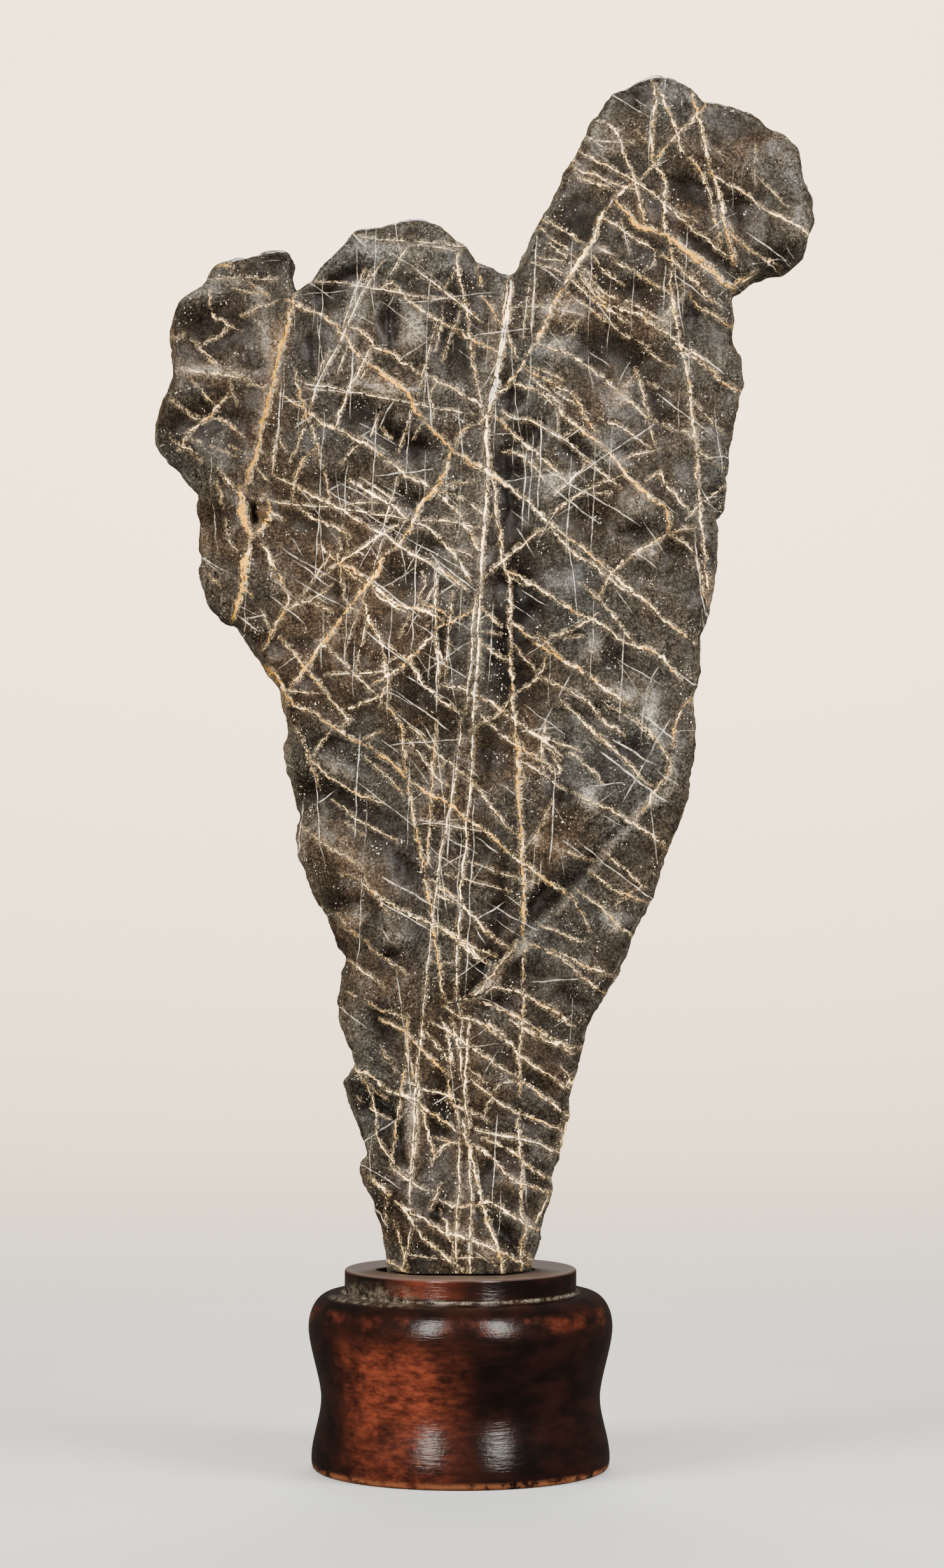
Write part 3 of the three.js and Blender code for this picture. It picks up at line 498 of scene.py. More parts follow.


# Lumps and hollows of the front face. Each has its place in the photograph's pixels, half its length
# and half its width in millimetres, its lean in degrees (rising to the right), how far it stands out in
# millimetres (or in, where negative), and how much paler or darker than the rest it is painted: partly
# the stone's own tone, partly painted sheen on lumps and painted shade in hollows.
forms = {
    "left lobe": [
        (425, 610, 19, 1.6, 76, 0.3, 0.7), (335, 515, 8.6, 5.4, 0, -0.7, -0.9),
        (324, 656, 9.0, 5.4, 8, -0.7, -0.9), (330, 585, 11, 1.7, -4, 0.5, 0.9),
        (432, 412, 3.2, 2.2, 0, -0.4, -0.7), (325, 458, 7.0, 1.7, 12, 0.3, 0.8),
        (421, 530, 2.4, 6.5, 0, 0.5, 0.8), (285, 560, 3.0, 4.0, 0, 0.2, 0.3),
        (270, 735, 6.0, 1.6, -48, 0.3, 0.5), (330, 810, 2.6, 2.8, 0, -0.5, -0.6),
        (325, 850, 2.0, 4.0, 0, 0.4, 0.5), (390, 470, 4.0, 3.0, 0, 0.3, 0.2),
        (340, 920, 4.0, 4.0, 0, 0.3, 0.1), (400, 570, 1.8, 3.0, 30, -0.4, -0.5),
        (350, 720, 5.0, 3.0, -30, 0.3, 0.1),
    ],
    "top": [
        (540, 432, 4.8, 1.9, 28, -0.5, -1.3), (518, 470, 2.8, 2.6, 0, -0.9, -1.3),
        (490, 545, 2.4, 6.0, 0, -0.8, -0.7), (612, 506, 1.9, 4.6, 0, -0.9, -1.3),
        (648, 518, 3.0, 4.4, -12, 0.8, 1.4), (711, 512, 4.6, 6.6, 0, -0.9, -0.9),
        (735, 560, 3.2, 3.6, 0, -0.6, -0.7), (645, 448, 2.6, 1.8, 0, -0.5, -0.6),
        (610, 395, 8.0, 2.8, 4, 0.5, 0.8), (680, 415, 6.0, 2.6, -8, 0.4, 0.4),
        (740, 450, 4.0, 3.0, 0, -0.3, -0.4), (560, 500, 4.0, 4.6, 60, 0.4, 0.4),
        (602, 612, 6.0, 2.1, -8, 1.9, 1.2), (568, 580, 2.6, 2.8, 0, 0.5, 0.6),
        (545, 650, 2.0, 3.4, 0, -0.5, -0.8), (612, 680, 8.5, 2.8, -35, -1.1, -1.3),
        (660, 700, 3.2, 2.6, 0, -0.6, -0.9), (700, 650, 5.0, 3.4, -20, 0.3, 0.1),
        (700, 610, 5.0, 2.0, -30, 0.3, 0.3),
    ],
    "middle left": [
        (520, 900, 14, 22, 0, 0.0, 0.16), (622, 732, 8.0, 1.7, -36, 0.6, 0.7),
        (642, 783, 3.0, 1.6, -14, -0.8, -0.9), (592, 770, 2.6, 1.4, -20, -0.6, -0.7),
        (632, 806, 7.0, 1.5, -37, 0.6, 0.7), (612, 832, 5.0, 1.4, -37, -0.7, -0.8),
        (645, 905, 5.4, 3.0, -10, -0.9, -0.9), (678, 860, 3.0, 1.6, -30, -0.5, -0.7),
        (490, 825, 3.6, 3.6, 0, -0.6, -0.6), (530, 755, 5.0, 2.2, -10, -0.5, -0.6),
        (720, 850, 3.0, 11, 0, 0.2, 0.6), (655, 1075, 3.6, 5.4, 0, -0.7, -0.9),
        (695, 1005, 3.0, 4.6, 0, -0.8, -1.0), (695, 1110, 3.6, 8.0, 0, -0.5, -0.7),
        (530, 930, 2.2, 2.0, 0, -0.5, -0.6), (575, 960, 3.0, 3.0, 0, 0.4, 0.4),
        (480, 1010, 2.6, 1.8, 0, -0.5, -0.6), (555, 1030, 2.6, 2.0, 0, -0.5, -0.5),
        (500, 1060, 3.2, 2.2, 0, -0.4, -0.4), (440, 910, 3.4, 5.0, 0, 0.3, 0.1),
        (430, 1010, 3.0, 2.2, -30, -0.4, -0.5), (565, 1120, 2.4, 2.6, 0, -0.4, -0.6),
        (515, 1000, 2.6, 2.6, 0, 0.5, 0.4), (460, 960, 3.0, 2.0, 0, 0.3, 0.1),
    ],
    "pale bar along the long uprights": [
        (776, 540, 15, 1.3, 84, 0.1, 0.8), (757, 800, 18, 1.3, 88, 0.1, 0.7),
        (752, 1030, 14, 1.1, 89, 0.1, 0.6),
    ],
    "dark gully right of the long uprights": [
        (810, 950, 3.8, 24, 0, -0.4, -0.8), (802, 615, 2.4, 5.0, -10, -1.1, -1.2),
        (832, 686, 2.8, 3.4, -30, -1.2, -1.3), (798, 730, 2.4, 5.4, 0, -1.0, -1.2),
        (797, 805, 2.4, 5.6, 0, -0.8, -1.0), (812, 918, 5.0, 3.2, -6, -1.2, -1.3),
        (790, 1000, 3.6, 5.6, 0, -0.8, -1.0), (786, 1066, 3.2, 5.0, 0, -0.8, -1.1),
        (768, 1180, 2.4, 6.0, 0, -0.7, -0.9), (830, 960, 3.6, 3.0, -30, -0.7, -0.9),
        (830, 1075, 4.0, 4.0, 0, -0.5, -0.6),
    ],
    "right of the middle": [
        (1060, 640, 22, 24, 0, 0.0, 0.12), (970, 1120, 24, 22, 0, 0.0, 0.2),
        (880, 488, 3.8, 2.4, 0, 0.9, 1.0), (872, 550, 2.8, 2.4, 0, 1.0, 1.2),
        (945, 550, 6.8, 4.4, -10, -0.9, -1.0), (990, 455, 8.0, 2.2, -24, -0.6, -0.9),
        (1000, 565, 3.2, 3.4, 0, -0.6, -0.7), (1056, 496, 4.8, 1.7, 52, 0.8, 1.0),
        (1086, 492, 1.6, 3.4, 0, -0.8, -1.0), (978, 622, 2.3, 2.0, 0, 0.8, 1.2),
        (1024, 628, 3.4, 3.0, 0, -0.9, -0.9), (1035, 668, 3.2, 2.2, -20, -0.6, -0.9),
        (905, 706, 4.4, 2.4, -42, -0.9, -1.0), (958, 712, 5.0, 1.6, -48, 0.5, 0.9),
        (872, 764, 3.6, 2.2, 60, 0.9, 1.2), (840, 735, 3.0, 1.6, -45, 0.4, 0.7),
        (930, 820, 4.6, 3.6, 0, -0.5, -0.5), (998, 798, 3.4, 3.0, 0, 0.8, 0.8),
        (1015, 868, 3.2, 1.7, 10, 0.7, 1.0), (1003, 834, 3.0, 1.6, 0, -0.6, -0.8),
        (1055, 862, 2.2, 3.0, 0, -0.6, -0.7), (880, 930, 3.0, 4.0, -10, 0.5, 0.5),
        (908, 1000, 1.8, 1.6, 0, -0.6, -0.9), (936, 1020, 1.5, 3.4, 0, 0.9, 1.3),
        (965, 1035, 4.0, 3.2, -30, -0.8, -0.9), (1028, 1022, 2.4, 1.6, -20, 0.5, 0.6),
        (978, 1095, 3.4, 1.6, -35, 1.0, 1.3), (1026, 1128, 1.6, 6.0, 12, 1.0, 1.3),
        (985, 1180, 5.0, 3.6, 0, -0.7, -0.8), (925, 1122, 3.6, 2.4, -20, -0.6, -0.7),
        (927, 1258, 2.1, 3.6, 10, 1.2, 1.5), (880, 1230, 2.2, 8.0, 0, -0.6, -0.8),
        (938, 1215, 2.4, 2.4, 0, -0.5, -0.6), (880, 1340, 2.0, 2.6, 0, 0.7, 0.8),
        (845, 1322, 2.3, 1.5, 10, 0.6, 1.1), (1110, 570, 4.6, 4.6, 0, 0.6, 0.3),
        (1105, 875, 2.0, 1.6, 0, -0.4, -0.7), (1128, 780, 2.0, 2.0, 0, -0.5, -0.8),
        (1020, 940, 4.0, 3.0, -30, 0.4, 0.2), (955, 640, 4.0, 2.0, -40, 0.4, 0.4),
        (1080, 700, 4.0, 3.0, 0, 0.4, 0.2), (860, 1160, 3.0, 2.0, -30, 0.4, 0.5),
    ],
    "right lobe": [
        (1160, 270, 16, 20, 0, 0.0, 0.22), (1155, 198, 5.6, 3.6, -12, -0.7, -0.7),
        (1092, 302, 6.2, 3.0, -14, -0.8, -1.3), (1160, 326, 2.8, 2.6, 0, -0.9, -1.2),
        (908, 350, 4.4, 4.0, 0, -1.0, -1.1), (950, 222, 4.6, 4.4, 0, 0.7, 0.7),
        (1040, 332, 2.6, 2.6, 0, -0.6, -0.9), (1020, 392, 7.0, 2.4, -30, -0.6, -0.8),
        (1108, 392, 8.0, 2.0, -37, -0.9, -1.0), (1235, 412, 4.6, 3.2, 20, -0.7, -0.9),
        (1252, 352, 3.0, 4.0, 0, 0.5, 0.5), (1205, 238, 8.0, 3.6, -6, 0.3, 0.3),
        (1205, 300, 6.0, 2.4, -10, -0.3, -0.4), (1000, 155, 3.2, 1.8, 10, -0.7, -0.9),
        (1062, 145, 3.6, 3.6, -20, 0.4, 0.3), (970, 165, 3.0, 2.4, 40, 0.4, 0.4),
        (1090, 225, 3.0, 5.0, 0, 0.3, 0.1), (865, 440, 3.0, 2.6, 0, -0.5, -0.8),
        (900, 430, 3.4, 2.0, -20, 0.4, 0.5), (985, 250, 4.0, 2.4, 0, -0.3, -0.3),
        (940, 390, 3.4, 1.8, -30, 0.5, 0.7), (1200, 375, 4.0, 2.6, 0, -0.2, -0.3),
    ],
    "lower left": [
        (535, 1212, 4.2, 1.9, -40, 0.8, 1.0), (480, 1235, 3.4, 2.2, -20, -0.8, -0.9),
        (562, 1272, 11, 3.4, -38, -1.0, -0.9), (640, 1365, 4.4, 2.0, -50, -0.9, -0.9),
        (550, 1350, 13, 3.2, -38, 0.8, 0.7), (542, 1420, 5.4, 2.1, -18, -1.0, -0.8),
        (558, 1442, 3.4, 2.8, 0, 0.9, 1.2), (612, 1503, 1.8, 1.5, 0, -0.9, -1.1),
        (626, 1470, 2.6, 2.6, 0, 0.6, 0.7), (590, 1445, 2.0, 2.6, 0, -0.5, -0.5),
        (738, 1336, 4.4, 4.0, 0, -0.6, -0.7), (735, 1425, 2.6, 2.6, 0, -0.3, -0.3),
        (710, 1330, 1.8, 7.0, 0, 0.3, 0.4), (510, 1170, 4.0, 2.0, -20, -0.5, -0.7),
        (472, 1325, 2.0, 4.0, -10, 0.4, 0.4), (575, 1545, 2.6, 5.0, 20, 0.5, 0.5),
        (600, 1605, 2.2, 4.6, 10, -0.7, -0.8), (640, 1560, 4.0, 3.0, 0, 0.3, 0.3),
        (567, 1630, 2.4, 7.0, 12, 0.5, 0.6), (700, 1615, 2.0, 5.0, 0, -0.4, -0.6),
    ],
    "raised layer": [
        (783, 1429, 11, 1.9, 83, -0.7, -1.2), (755, 1532, 5.5, 1.2, 45, -0.3, -0.9),
        (845, 1412, 5.4, 1.1, 60, -0.6, -1.3), (832, 1395, 1.2, 4.4, -10, 0.4, 0.9),
        (885, 1378, 5.0, 1.4, 48, -0.4, -0.4), (985, 1288, 6.4, 2.0, 44, 0.4, 0.6),
        (900, 1440, 8.0, 5.0, 44, 0.2, 0.1), (962, 1450, 2.6, 1.6, -50, 0.7, 1.1),
        (820, 1490, 3.6, 1.3, 12, 0.5, 0.7), (822, 1527, 4.4, 2.2, -10, -0.5, -0.8),
        (900, 1562, 4.4, 2.0, -35, -0.4, -0.6), (762, 1548, 3.2, 1.2, 38, 0.7, 1.1),
        (757, 1512, 1.8, 3.4, -20, -0.9, -1.2), (1040, 1200, 2.0, 6.0, 0, 0.3, 0.3),
        (855, 1600, 4.0, 2.0, -30, -0.3, -0.4), (775, 1580, 4.0, 1.4, -10, -0.5, -0.6),
        (860, 1660, 3.0, 2.0, 0, -0.3, -0.4),
    ],
    "foot": [
        (720, 1850, 22, 24, 0, 0.0, -0.3), (585, 1738, 5.6, 2.4, -40, -0.9, -0.9),
        (648, 1768, 2.1, 8.0, 0, 0.9, 1.4), (628, 1795, 1.2, 6.4, 8, -0.6, -0.9),
        (690, 1725, 1.8, 6.4, -6, -0.6, -0.9), (692, 1800, 1.4, 4.4, 0, -0.5, -0.7),
        (690, 1905, 1.7, 1.3, 0, -1.2, -1.6), (795, 1942, 5.0, 1.9, -42, -1.2, -1.3),
        (826, 1925, 1.7, 2.6, 0, 0.9, 1.2), (772, 1965, 3.2, 1.8, -20, 0.6, 1.1),
        (712, 1941, 2.4, 1.5, -10, 0.5, 0.8), (664, 1978, 2.8, 2.2, 0, -0.5, -1.1),
        (575, 1780, 1.6, 7.0, 14, 0.4, 0.5), (590, 1925, 1.6, 7.0, 18, 0.4, 0.5),
        (720, 1850, 1.6, 6.0, 0, 0.2, 0.5), (770, 1840, 2.0, 5.0, -30, -0.6, -0.8),
        (800, 1862, 3.0, 1.4, -20, 0.4, 0.6), (830, 1760, 3.2, 1.6, -20, -0.6, -0.8),
        (790, 1700, 3.4, 1.4, -35, 0.4, 0.5), (840, 1700, 3.0, 1.6, -30, -0.4, -0.6),
        (728, 1890, 2.4, 9.0, 0, 0.1, 0.5), (620, 1900, 3.0, 1.6, -30, -0.4, -0.5),
        (558, 1700, 1.8, 1.8, 0, 0.4, -0.2), (760, 1905, 1.6, 3.0, 0, -0.2, -0.3),
        (860, 1815, 3.4, 1.4, -10, 0.4, 0.7),
    ],
}

# Brown and olive parts (above 0) and blue-grey parts (below 0) of the stone, laid out in the same way,
# with the last number for the tint, and parts where hairline veins are dense (above 0) or few
tints = [
    (600, 985, 13, 20, 0, 0.7), (725, 1640, 6, 14, 0, 0.5), (720, 1900, 5, 10, 0, 0.4),
    (650, 1080, 7, 14, 0, 0.6), (640, 905, 6, 4, 0, 0.8), (815, 1070, 5, 12, 0, 0.7),
    (930, 825, 6, 5, 0, 0.8), (1035, 680, 5, 5, 0, 0.6), (1040, 335, 5, 4, 0, 0.8),
    (905, 345, 5, 4, 0, 0.6), (1200, 240, 9, 6, 0, 0.25), (330, 520, 8, 6, 0, 0.4),
    (330, 660, 9, 6, 0, 0.5), (450, 640, 5, 24, 5, 0.4), (425, 610, 20, 2.2, 76, 0.8),
    (560, 860, 9, 7, 0, 0.9), (820, 1180, 6, 6, 0, 0.8), (870, 1290, 4, 12, 0, 0.6),
    (700, 1615, 5, 9, 0, 0.5), (725, 1720, 5, 10, 0, 0.5), (640, 1930, 5, 5, 0, 0.5),
    (720, 1800, 16, 24, 0, 0.3), (790, 1430, 3, 10, 0, 0.7), (480, 990, 13, 18, 0, 0.6),
    (400, 800, 10, 14, 0, 0.4), (560, 1350, 10, 8, -35, 0.4), (1000, 200, 5, 6, 0, 0.4),
    (740, 1330, 8, 16, 0, 0.4), (640, 650, 8, 8, 0, 0.2), (980, 470, 8, 5, -30, 0.4),
    (620, 395, 12, 5, 0, -0.8), (1065, 150, 5, 5, 0, -0.7), (340, 455, 10, 3, 0, -0.7),
    (890, 930, 6, 10, 0, -0.7), (1010, 1120, 8, 14, 0, -0.7), (985, 1290, 7, 8, 0, -0.8),
    (870, 550, 6, 4, 0, -0.4), (280, 740, 8, 4, -45, -0.7), (575, 1640, 4, 12, 0, -0.6),
    (595, 1790, 5, 10, 0, -0.6), (1110, 560, 6, 8, 0, -0.3), (880, 1460, 10, 8, 40, -0.3),
    (470, 1260, 4, 6, 0, -0.5), (1235, 355, 6, 6, 0, -0.4), (900, 1250, 6, 6, 0, -0.5),
    (690, 740, 9, 3, -36, -0.5),
]
hairline_parts = [
    (660, 990, 14, 22, 0, 1.0), (560, 830, 12, 12, 0, 0.8), (900, 760, 14, 14, 0, 0.6),
    (1000, 1080, 10, 12, 0, 0.5), (725, 1700, 12, 16, 0, 0.3), (720, 1350, 8, 18, 0, 0.6),
    (560, 620, 12, 10, 0, 0.5), (640, 430, 14, 8, 0, 0.2), (330, 580, 16, 26, 0, -0.8),
    (1190, 290, 12, 14, 0, -0.4), (560, 1350, 10, 12, 0, -0.5), (900, 1440, 12, 12, 0, -0.4),
    (440, 860, 8, 10, 0, 0.3), (940, 200, 6, 5, 0, 0.5),
]

seen = seen_from_eye(rest)
strayed = seen + np.stack([tiers((0.7, 5.5, 21)), tiers((0.7, 5.5, 22))], axis=1)
side_limit, side_fade = 0.05, 0.5
faces_front = np.clip((-normals[:, 1] - side_limit) / side_fade, 0, 1)
faces_back = np.clip((normals[:, 1] - side_limit) / side_fade, 0, 1)
patch_depth, patch_squareness = 0.9, 2.6


def spread_of(x, y, half_length, half_width, lean):
    """1 in the middle of an oval patch, fading to 0 just past its edge."""
    turn = math.radians(lean)
    away = strayed - on_picture([(x, y)])[0]
    along = away[:, 0] * math.cos(turn) + away[:, 1] * math.sin(turn)
    across = away[:, 1] * math.cos(turn) - away[:, 0] * math.sin(turn)
    share = np.hypot(along / half_length, across / half_width)
    return np.exp(-patch_depth * share ** patch_squareness)


def patches(table):
    """The sum of a table of oval patches."""
    return sum(strength * spread_of(*oval) for *oval, strength in table)


# Water-worn lumps and hollows: those listed above, and finer ones all over. Their shade goes into the
# colour too: paler tops as painted sheen, darker hollows as painted shade
collar_clearance, relief_fade = 0.5, 5
knob_shade, back_shade, back_hairlines = 0.28, 0.7, 0.3
above_collar = np.clip((rest[:, 2] - collar_top - collar_clearance) / relief_fade, 0, 1)
shade = np.zeros(count)
standing_out = np.zeros(count)
for region in forms.values():
    for *oval, height, tone in region:
        spread = spread_of(*oval) * faces_front
        standing_out += height * spread
        shade += tone * spread
back_lumps = tiers((1.1, 9, 31), (0.5, 5, 32))
standing_out += faces_back * back_lumps
shade += faces_back * back_shade * back_lumps
knobs = tiers((0.3, 7, 1), (0.2, 3.8, 2), (0.08, 2.1, 3))
standing_out += knobs
shade += knob_shade * knobs + tiers((0.1, 4.5, 4))

# The raised layer's edge: a step, with a painted shadow above it on the left and a painted highlight
# along its crest
layer_edge = drawn_smoothly(read_line(
    "1056,1150 1050,1228 1020,1258 987,1290 936,1350 890,1401 859,1432 829,1467 803,1496 778,1529 752,1556 "
    "727,1576 698,1590"
))
edge_step, step_width, step_reach, edge_fade = 0.9, 0.7, 5, 8
# Two painted lines along the edge, a shadow and a highlight: how much paler or darker, how far across
# the edge, and half the width
painted_drop_shadow = (-0.7, 1.0, 0.8)
painted_crest_highlight = (0.7, -0.8, 0.7)
from_edge, _, edge_inside = measured_from(layer_edge, strayed)
on_edge = np.clip(edge_inside / edge_fade, 0, 1) * faces_front
step = np.tanh(-from_edge / step_width) * np.exp(-np.abs(from_edge) / step_reach)
standing_out += edge_step * step * on_edge
# Paints the shadow and the highlight into the tone
for tone, middle, half in (painted_drop_shadow, painted_crest_highlight):
    shade += tone * np.exp(-((from_edge - middle) / half) ** 2) * on_edge

# A brown pebble is caught in the small open hollow on the left seam
pebble_oval, pebble_height = (411, 806, 1.5, 2.4, 0), 2.3
pebble = spread_of(*pebble_oval) * faces_front
standing_out += pebble_height * pebble

# The rim is jagged, and stands out a little all round. Its sides are painted paler, a painted
# highlight as where the bevels catch the light
rim_depth, rim_rise, rim_shade, rim_calm = 0.8, 0.25, 0.4, 0.6
edge_share = np.clip(1 - np.abs(normals[:, 1]) / rim_depth, 0, 1)
jagged = tiers((0.5, 6.5, 5), (0.38, 3.1, 6), (0.22, 1.7, 7)) + rim_rise
shade += edge_share * (tiers((0.5, 6, 8)) + rim_shade)
relief = (standing_out * (1 - rim_calm * edge_share) + jagged * edge_share) * above_collar
worked = rest + normals * relief[:, None]
slab.data.vertices.foreach_set("co", (worked * millimetre).astype(np.float32).ravel())
slab.data.update()

warmth = patches(tints) + tiers((0.45, 16, 9))
density = patches(hairline_parts) * faces_front + back_hairlines * faces_back

